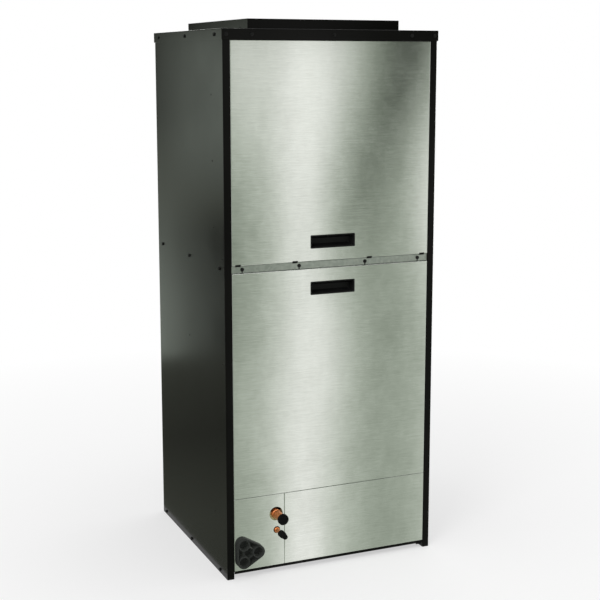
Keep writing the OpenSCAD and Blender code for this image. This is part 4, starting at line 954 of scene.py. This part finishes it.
def woolTuft():
    # wool that bulges into the larger pipe hole, low on its left
    t, middle = tuft, spanOf("suction_plug")[1]
    turns = [math.radians(t["from"] + 10 * i) for i in range(t["steps"])]
    piece = newPiece("woolTuft", [pipeShell([(middle.x + t["arc"] * math.cos(turn), t["depth"],
        middle.z + t["arc"] * math.sin(turn)) for turn in turns], t["radius"], 20)])
    for vertex in piece.data.vertices:
        vertex.co += noise.noise_vector(vertex.co * t["lumps"]) * t["bulge"] * mm
    settle(piece, "glass_wool", None, 80)


makeWool()
makeFoam()
woolTuft()
print("glass wool and foam laid")


# coil

coil = {"lean": math.radians(17.5), "half": 28.0, "row": 11.0, "pitch": 25.4, "tube": 4.76,
    "circuits": 6, "rows": 4, "finPitch": 1.8, "fin": 0.3, "wave": 0.55, "waves": 8,
    "sheet": 1.5, "header": 66.0, "headerRadius": 11.11, "headerBelow": 14.0, "headerAbove": 16.0,
    "feed": 2.4, "braze": 5.6}
leanSin, leanCos = math.sin(coil["lean"]), math.cos(coil["lean"])
finLow, finHigh = nodeBox("right_fin_pack")
coil["footX"] = finHigh.x - coil["half"] * leanCos
coil["footZ"] = finLow.z + coil["half"] * leanSin
coil["length"] = (finHigh.z - finLow.z - 2 * coil["half"] * leanSin) / leanCos
coil["first"] = (coil["length"] - (coil["circuits"] * coil["rows"] - 1) * coil["pitch"]) / 2


def slabPoint(side, s, n, y):
    # s runs up a slab, n across it, outwards
    return (side * (coil["footX"] - s * leanSin + n * leanCos), y,
        coil["footZ"] + s * leanCos + n * leanSin)


def tubeAt(index):
    return coil["first"] + index * coil["pitch"]


def finPiece(side, name, node):
    # thin rippled plates, each the full height of the slab, with the tubes through them
    c = coil
    front = [(-c["half"] + 2 * c["half"] * k / c["waves"], c["wave"] * (k % 2))
        for k in range(c["waves"] + 1)]
    loop = front + [(n, y + c["fin"]) for n, y in front[::-1]]
    fins = []
    for i in range(int((finHigh.y - finLow.y - c["wave"] - c["fin"]) / c["finPitch"]) + 1):
        y0 = finLow.y + i * c["finPitch"]
        fins.append(loopShell([(loop, 0), (loop, c["length"])],
            lambda n, y, s: slabPoint(side, s, n, y0 + y)))
    addPiece(name + "Fins", fins, "fin_aluminium", node, 20)
    tubes = [rodShell(slabPoint(side, tubeAt(i), n, finLow.y), c["tube"], finHigh.y - finLow.y, 14)
        for i in range(c["circuits"] * c["rows"]) for n in (-c["row"], c["row"])]
    addPiece(name + "Tubes", tubes, "copper")


def halfRing(side, s, n, y, way, along):
    # a return bend, along the slab or across it between the rows
    c = coil
    radius = c["pitch"] / 2 if along else c["row"]
    path = []
    for turn in (math.pi * k / 12 for k in range(13)):
        out, shift = y + way * radius * math.sin(turn), radius * math.cos(turn)
        path.append(slabPoint(side, s + shift, n, out) if along
            else slabPoint(side, s, n + shift, out))
    cup = [(0, 0), (0, c["braze"]), (1.6, c["braze"]), (2.6, c["tube"]), (2.6, 0)]
    return [pipeShell(path, c["tube"] - 0.02, 14)] + [latheShell(foot, (0, way, 0), cup, 14)
        for foot in (path[0], path[-1])]


def bendPiece():
    c = coil
    front, back = finLow.y - c["sheet"], finHigh.y + c["sheet"]
    bends = []
    for side in (-1, 1):
        for first in range(0, c["circuits"] * c["rows"], c["rows"]):
            for n in (-c["row"], c["row"]):
                bends += halfRing(side, tubeAt(first + 1.5), n, front, -1, True)
                bends += halfRing(side, tubeAt(first + 0.5), n, back, 1, True)
                bends += halfRing(side, tubeAt(first + 2.5), n, back, 1, True)
            bends += halfRing(side, tubeAt(first + 3), 0, front, -1, False)
    addPiece("returnBends", bends, "copper", "return_bends", 50)


def headerPiece(side, name, node):
    # a capped pipe with spun ends, and a brazed feeder to each circuit
    c, r, tube, braze = coil, coil["headerRadius"], coil["tube"], coil["braze"]
    ends = (tubeAt(0) - c["headerBelow"],
        tubeAt(c["circuits"] * c["rows"] - c["rows"]) + c["headerAbove"])
    low, high = [Vector(slabPoint(side, s, c["row"], c["header"])) for s in ends]
    length, reach = (high - low).length, finLow.y - c["sheet"] - c["header"]
    spun = [(0, 0), (0.5, 0.4 * r), (2.2, 0.76 * r), (5.5, r)]
    shells = [latheShell(low, high - low, spun + [(length - a, b) for a, b in spun[::-1]], 40)]
    feeder = [(0, 0), (0, tube), (r - 1, tube), (r - 0.8, tube + 1.8), (r + 0.6, tube + 1.2),
        (r + 2.4, tube + 0.2), (r + 3, tube), (reach - 2.4, tube), (reach - 1.6, braze),
        (reach, braze), (reach, 0)]
    for k in range(c["circuits"]):
        at = slabPoint(side, tubeAt(c["rows"] * k), c["row"], c["header"])
        shells.append(latheShell(at, inward, feeder, 20))
    addPiece(name, shells, "copper", node, 45)


def feedPiece():
    # fine tubes: back out of the distributor, across, and back into each circuit
    c, out, valve = coil, nodeBox("distributor")[1].y, spanOf("distributor")[1].z
    spread = c["circuits"] * (2 * c["feed"] + 0.4) / math.pi
    sheetY = finLow.y - c["sheet"]
    across = (c["header"] + c["headerRadius"] + sheetY - c["pitch"] / 2 - c["tube"]) / 2
    cup = [(0, 0), (0, c["feed"]), (1.5, c["tube"]), (9, c["tube"]), (9, 0)]
    shells = []
    for side in (-1, 1):
        for k in range(c["circuits"]):
            turn = math.radians(-90 + (k + 0.5) * 180 / c["circuits"])
            x, z = side * spread * math.cos(turn), valve + spread * math.sin(turn)
            endX, _, endZ = slabPoint(side, tubeAt(c["rows"] * k), -c["row"], sheetY)
            route = softPath([(x, out, z), (x, across, z), (endX, across, endZ),
                (endX, sheetY, endZ)], across - out - 1, 6)
            shells.append(pipeShell(route, c["feed"] - 0.02, 14))
            shells.append(latheShell((endX, sheetY - 9, endZ), inward, cup, 16))
    addPiece("feedTubes", shells, "copper", "feed_tubes", 50)


for side, word in ((-1, "left"), (1, "right")):
    finPiece(side, word + "Coil", word + "_fin_pack")
    headerPiece(side, word + "Header", word + "_header")
bendPiece()
feedPiece()
print("coil built")


# drain pan

pan = {"wall": 3.0, "inner": 40.0, "channel": 92.0, "hole": 6.0, "rib": 20.0, "ribWidth": 26.0,
    "ribInset": 4.0}


def panPiece():
    low, high = nodeBox("drain_pan")
    half, centre = spanOf("drain_pan")
    finHalf, finCentre = spanOf("right_fin_pack")
    floor, top = low.z + pan["wall"], high.z
    lip = floor + pan["inner"]
    # (half width, half depth, middle) of the outline and of the opening
    outer, hole = (half.x, half.y, centre.y), (half.x - pan["channel"], finHalf.y, finCentre.y)
    # (which of them, grow, corner, height)
    stations = [(outer, -1.5, 12, low.z), (outer, -0.4, 14, low.z + 40), (outer, 0, 14, top - 5),
        (outer, 0, 14, top - 0.8), (outer, -0.8, 13, top), (outer, -2.3, 12, top),
        (outer, -3.0, 11, top - 1), (outer, -4.2, 10, floor + 4), (outer, -8, 8, floor + 0.4),
        (hole, 8, 10, floor + 0.2), (hole, 4.2, 8, floor + 3.5), (hole, 3.2, 6, lip - 2),
        (hole, 2.4, 6, lip), (hole, 0.6, 5, lip), (hole, 0.2, 5, lip - 2),
        (hole, 0.6, 6, low.z)]
    loops = [([(u, v + middle) for u, v in roundedRect(halfU + grow, halfV + grow, corner, 5)], z)
        for (halfU, halfV, middle), grow, corner, z in stations]
    tray = newPiece("drainTray", [loopShell(loops, lying(), closed=True)])
    cutAway(tray, drainHoles(pan["hole"], low.y - 2, 9))
    settle(tray, "black_plastic", "drain_pan", 40)
    foot = slabPoint(1, 0, -coil["half"], 0)
    ribs = []
    for side in (-1, 1):
        inner = foot[0] - pan["ribInset"]
        x0, x1 = sorted((side * inner, side * (inner + pan["ribWidth"])))
        for y in (finLow.y + 20, finHigh.y - 40):
            ribs.append(padShell((x0, y, floor - 1), (x1, y + pan["rib"], foot[2] - 0.3), 8, 1.4))
    addPiece("drainRibs", ribs, "black_plastic", None, 40)


panPiece()
print("drain pan built")


# controls

board = {"thick": 1.6, "standoff": 8.0, "holeInset": 8.0, "holeRadius": 1.8, "relays": 3,
    "relayPitch": 34.0, "blades": 8, "bladePitch": 14.0, "parts": 9, "partPitch": 11.0}


def boardPieces():
    b = board
    low, high = nodeBox("control_board")
    half, centre = spanOf("control_board")
    face = high.y - b["standoff"] - b["thick"]
    back = face + b["thick"]
    loop = roundedRect(half.x, half.z, 3, 4)
    sheet = newPiece("controlBoard", [loopShell([(loop, face), (loop, back)],
        upright(centre.x, centre.z))])
    inset = b["holeInset"]
    corners = [(x, z) for x in (low.x + inset, high.x - inset)
        for z in (low.z + inset, high.z - inset)]
    cutAway(sheet, [rodShell((x, face - 2, z), b["holeRadius"], 6, 20) for x, z in corners])
    settle(sheet, "green_board", "control_board")
    black, bright = [], []

    def block(shells, x, z, size, deep, *pad):
        # a part that stands on the board, as a plain box or a rounded one
        ends = (low.x + x, face - deep, low.z + z), (low.x + x + size[0], face, low.z + z + size[1])
        shells.append(padShell(*ends, *pad) if pad else boxShell(*ends))

    for i in range(b["relays"]):
        block(black, 14 + i * b["relayPitch"], 66, (28, 32), 16, 9, 1.2)
    for x, z in corners:
        black.append(latheShell((x, back, z), inward, [(0, 0), (0, 3), (b["standoff"], 3),
            (b["standoff"], 0)], 6))
        bright.append(latheShell((x, face, z), outward, [(0, 0), (0, 3.4), (1, 3.2), (2, 2),
            (2.2, 0)], 20))
    for i in range(b["blades"]):
        x = 16 + i * b["bladePitch"]
        block(bright, x, 12.6, (6.3, 0.8), 9)
        block(bright, x + 1, 10.5, (4.3, 5), 1)
    can = [(0, 0), (0, 6), (1, 6), (1.6, 5.6), (2.2, 6), (13.2, 6), (14, 5.3), (13.7, 4.6), (13.7, 0)]
    black.append(latheShell((low.x + 130, face, low.z + 45), outward, can, 32))
    for i in range(b["parts"]):
        x = 20 + i * b["partPitch"]
        block(black, x, 36 + 6 * (i % 2), (7, 3), 3, 4, 0.8)
        black.append(latheShell((low.x + x + 3, face, low.z + 54), outward, [(0, 0), (0, 1.6),
            (3.5, 1.6), (4.2, 1.1), (4.2, 0)], 14))
    addPiece("boardParts", black, "black_plastic", None, 40)
    addPiece("boardBlades", bright, "bright_steel")


transformer = {"plates": 16, "pitch": 1.4, "thick": 1.25, "stack": 24.0, "shave": 0.25}


def transformerPieces():
    # a stack of iron plates with a taped winding, on a folded foot
    low, high = nodeBox("transformer")
    x0, x1, z0, z1 = low.x + 8, high.x - 8, low.z + 4, high.z - 4
    shells = []
    for i in range(transformer["plates"]):
        y = high.y - transformer["stack"] + i * transformer["pitch"]
        shave = transformer["shave"] * (i % 2)
        shells.append(boxShell((x0 + shave, y, z0 + shave),
            (x1 - shave, y + transformer["thick"], z1 - shave)))
    shells.append(boxShell((low.x, high.y - 2, low.z), high))
    addPiece("transformerCore", shells, "motor_enamel", "transformer")
    winding = padShell((x0 + 12, low.y, z0 + 6), (x1 - 12, high.y - 1, z1 - 6), 6, 3.5, 0.5)
    addPiece("transformerWinding", [winding], "copper", None, 50)


boardPieces()
transformerPieces()
print("control parts built")


# light, floor and camera

stageLook = {
    "cameraAt": (-1.3431, -3.1425, 1.3307),
    "yaw": 23.398,
    "pitch": 9.445,
    "lens": 74.66,
    "sensor": 36.0,
    "shiftUp": -0.05,
    "worldLight": 0.62,
    "rearLight": 8.0,
    "cardAt": 1.0,
    # how far a mirror image in the front slides and shrinks for each metre of a card's distance
    "slide": 0.465,
    "shrink": 0.346,
    # (where a card is dim, where it is bright)
    "frontTints": ((0.875, 1.0, 0.82), (1.0, 0.995, 0.98)),
    "sideTints": ((0.93, 1.0, 0.80), (0.89, 1.0, 0.87)),
    "rearTints": ((0.97, 1.0, 0.94), (0.98, 1.0, 0.95)),
    # (across, tone)
    "steelBands": ((0.08, 0.3), (0.24, 0.5), (0.33, 0.84), (0.41, 0.93), (0.5, 0.63), (0.6, 0.42),
        (0.72, 0.34), (0.84, 0.4), (0.95, 0.6)),
    # (across, up, reach across, reach up, change)
    "spots": ((0.52, 1.4, 0.28, 0.35, 0.3), (0.10, 1.5, 0.17, 0.6, 1.3),
        (0.10, 0.68, 0.25, 0.4, -0.4), (0.45, 0.42, 0.16, 0.35, 0.45), (0.72, 0.42, 0.25, 0.3, -0.2),
        (0.87, 0.82, 0.12, 0.35, 1.0), (0.2, 0.1, 0.4, 0.3, 0.2), (0.55, 0.86, 0.14, 0.24, -0.3),
        (0.72, 1.42, 0.13, 0.3, -0.5), (0.13, 0.05, 0.12, 0.14, 0.25)),
}


def makeCamera():
    camera = addObject("camera", bpy.data.cameras.new("camera"))
    camera.location = stageLook["cameraAt"]
    camera.rotation_euler = (math.radians(90 - stageLook["pitch"]), 0,
        math.radians(-stageLook["yaw"]))
    camera.data.lens = stageLook["lens"]
    camera.data.sensor_width = stageLook["sensor"]
    camera.data.shift_y = stageLook["shiftUp"]
    scene.camera = camera


def seenDirectly(tree):
    path = addNode(tree, "LightPath").outputs
    direct = calculate(tree, "ADD", path["Is Camera Ray"], path["Is Glossy Ray"], use_clamp=True)
    return calculate(tree, "ADD", direct, path["Is Transmission Ray"], use_clamp=True)


def makeWorld():
    scene.world = bpy.data.worlds.new("studio")
    scene.world.use_nodes = True
    tree = scene.world.node_tree
    tree.nodes.clear()
    light, white = [addNode(tree, "Background", {"Color": 1.0, "Strength": strength}).outputs[0]
        for strength in (stageLook["worldLight"], 1.0)]
    mix = addNode(tree, "MixShader", {0: seenDirectly(tree), 1: light, 2: white})
    addNode(tree, "OutputWorld", {0: mix.outputs[0]})


def newPaint(name, item):
    paint = bpy.data.materials.new(name)
    paint.use_nodes = True
    paint.node_tree.nodes.clear()
    item.data.materials.append(paint)
    return paint.node_tree


def makeFloor():
    floor = addMesh("floor", [(-40, -40, -0.0004), (40, -40, -0.0004), (40, 40, -0.0004),
        (-40, 40, -0.0004)], [(0, 1, 2, 3)])
    tree = newPaint("floorPaint", floor)
    matt = addNode(tree, "BsdfDiffuse", {"Color": 0.9}).outputs[0]
    glow = addNode(tree, "Emission", {"Color": 1.0, "Strength": 1.0}).outputs[0]
    far = addNode(tree, "VectorMath", {0: addNode(tree, "TexCoord").outputs["Object"]},
        operation="LENGTH").outputs["Value"]
    seen = calculate(tree, "MULTIPLY", remap(tree, far, 0.6, 2.4, 0.55, 1.0), seenDirectly(tree))
    mix = addNode(tree, "MixShader", {0: seen, 1: matt, 2: glow})
    addNode(tree, "OutputMaterial", {0: mix.outputs[0]})


def softbox(name, at, aim, size, power):
    light = bpy.data.lights.new(name, "AREA")
    light.shape = "RECTANGLE"
    light.size = light.size_y = size
    light.energy = power
    lamp = addObject(name, light)
    lamp.location = at
    lamp.rotation_euler = (Vector(aim) - Vector(at)).to_track_quat("-Z", "Y").to_euler()


def reflectorCard(name, low, high, tints, toneOf):
    # a lying or upright card that only reflections see
    (x0, y0, z0), (x1, y1, z1) = low, high
    corners = [(x0, y0, z0), (x1, y0, z0), (x1, y1, z0), (x0, y1, z0)]
    if z1 > z0:
        corners = [(x0, y0, z0), (x1, y1, z0), (x1, y1, z1), (x0, y0, z1)]
    card = addMesh(name, corners, [(0, 1, 2, 3)])
    tree = newPaint(name + "Glow", card)
    at = addNode(tree, "SeparateXYZ", {0: addNode(tree, "TexCoord").outputs["Object"]})
    tone = toneOf(tree, *at.outputs)
    glow = addNode(tree, "Emission", {"Strength": tone,
        "Color": mixColours(tree, remap(tree, tone, 0.25, 0.95, 0, 1), *tints)})
    addNode(tree, "OutputMaterial", {0: glow.outputs[0]})
    card.visible_camera = card.visible_diffuse = card.visible_shadow = False
    card.visible_transmission = card.visible_volume_scatter = False


def product(tree, first, *others):
    for value in others:
        first = calculate(tree, "MULTIPLY", first, value)
    return first


def bandTone(tree, across):
    # soft upright bands; across runs from -0.35 to 0.35 over the front
    ramp = addNode(tree, "ValToRGB", {0: remap(tree, across, -0.35, 0.35, 0, 1)})
    stops = stageLook["steelBands"]
    ramp.color_ramp.interpolation = "B_SPLINE"
    while len(ramp.color_ramp.elements) < len(stops):
        ramp.color_ramp.elements.new(0.5)
    for element, (at, tone) in zip(ramp.color_ramp.elements, stops):
        element.position = at
        element.color = (tone, tone, tone, 1)
    return ramp.outputs[0]


def swell(tree, value, centre, reach, amount):
    away = calculate(tree, "ABSOLUTE", calculate(tree, "SUBTRACT", value, centre))
    return remap(tree, away, 0, reach, amount, 0)


def frontTone(tree, x, y, z):
    # upright bands, softer spots over them, and a dark streak that leans down to the left
    gap = stageLook["cardAt"]
    size = 1 / (1 + stageLook["shrink"] * gap)
    across = calculate(tree, "MULTIPLY_ADD", x, size, -stageLook["slide"] * gap * size)
    changes = [product(tree, swell(tree, x, atX, reachX, amount), swell(tree, z, atZ, reachZ, 1.0))
        for atX, atZ, reachX, reachZ, amount in stageLook["spots"]]
    lean = calculate(tree, "MULTIPLY_ADD", z, -0.393, x)
    changes.append(product(tree, swell(tree, lean, 0.229, 0.2, -0.96),
        remap(tree, z, 0.42, 1.3, 0.1, 1.0)))
    return product(tree, bandTone(tree, across), remap(tree, z, 0.5, 1.2, 1.1, 1.25),
        *[calculate(tree, "ADD", change, 1.0) for change in changes],
        remap(tree, z, 1.43, 1.55, 1.0, 0.15))


def floorTone(tree, x, y, z):
    # the same bands, lying on the floor in front
    gap = calculate(tree, "MULTIPLY_ADD", y, -1.0, -0.253)
    top = calculate(tree, "MULTIPLY_ADD", gap, -stageLook["slide"], x)
    below = calculate(tree, "MULTIPLY_ADD", gap, stageLook["shrink"], 1.0)
    return product(tree, bandTone(tree, calculate(tree, "DIVIDE", top, below)), 1.1)


def sideTone(tree, x, y, z):
    # what the left side shows: light at the upper front and at mid height to the rear
    back = remap(tree, x, -1.1, -0.86, 0, 1)
    ahead = product(tree, remap(tree, z, 0.55, 1.0, 0.0, 1.45),
        calculate(tree, "SUBTRACT", 1.0, back), remap(tree, z, 1.42, 1.56, 1.0, 0.2))
    behind = product(tree, remap(tree, z, 0.25, 1.1, 1.55, 0.05), back)
    return calculate(tree, "ADD", ahead, behind)


def sideFloorTone(tree, x, y, z):
    return calculate(tree, "ADD", remap(tree, y, 1.0, 2.2, 0.15, 0.26),
        remap(tree, y, 0.2, 1.0, 0.12, 0))


def rearTone(tree, x, y, z):
    # for the right side and the rear: dim close to the cabinet and towards the front
    far = remap(tree, calculate(tree, "MAXIMUM", x, y), 0.4, 3.2, 1.0, stageLook["rearLight"])
    return product(tree, far, remap(tree, x, -0.19, 0.9, 0.15, 1.0),
        remap(tree, y, -0.2, 1.1, 0.15, 1.0), remap(tree, z, 2.6, 0.6, 0.5, 1.0))


def makeCards():
    front, wall = frontY * mm - stageLook["cardAt"], frontY * mm - 0.01
    for name, low, high, side, toneOf in (
            ("frontCard", (-1.6, front, 0.0), (2.8, front, 2.4), "front", frontTone),
            ("floorCard", (-1.6, front, 0.001), (2.8, wall, 0.001), "front", floorTone),
            ("sideCard", (-4.0, 2.2, -0.1), (-0.2, 2.2, 3.0), "side", sideTone),
            ("sideFloorCard", (-4.0, -0.6, 0.001), (-0.31, 2.2, 0.001), "side", sideFloorTone),
            ("rearCard", (-0.19, 3.2, 0.0), (3.2, 3.2, 3.0), "rear", rearTone),
            ("rightCard", (3.2, -0.2, 0.0), (3.2, 3.2, 3.0), "rear", rearTone),
            ("rearFloorCard", (-0.19, 0.33, 0.001), (3.2, 3.2, 0.001), "rear", rearTone),
            ("rightFloorCard", (0.33, -0.2, 0.001), (3.2, 0.33, 0.001), "rear", rearTone)):
        reflectorCard(name, low, high, stageLook[side + "Tints"], toneOf)


makeCamera()
makeWorld()
makeFloor()
makeCards()
softbox("keyBox", (-2.6, -2.4, 3.2), (0, 0, 0.8), 1.6, 55)
softbox("topBox", (0.6, 0.2, 3.6), (0, 0, 1.2), 2.2, 30)
print("camera, floor and lights set")
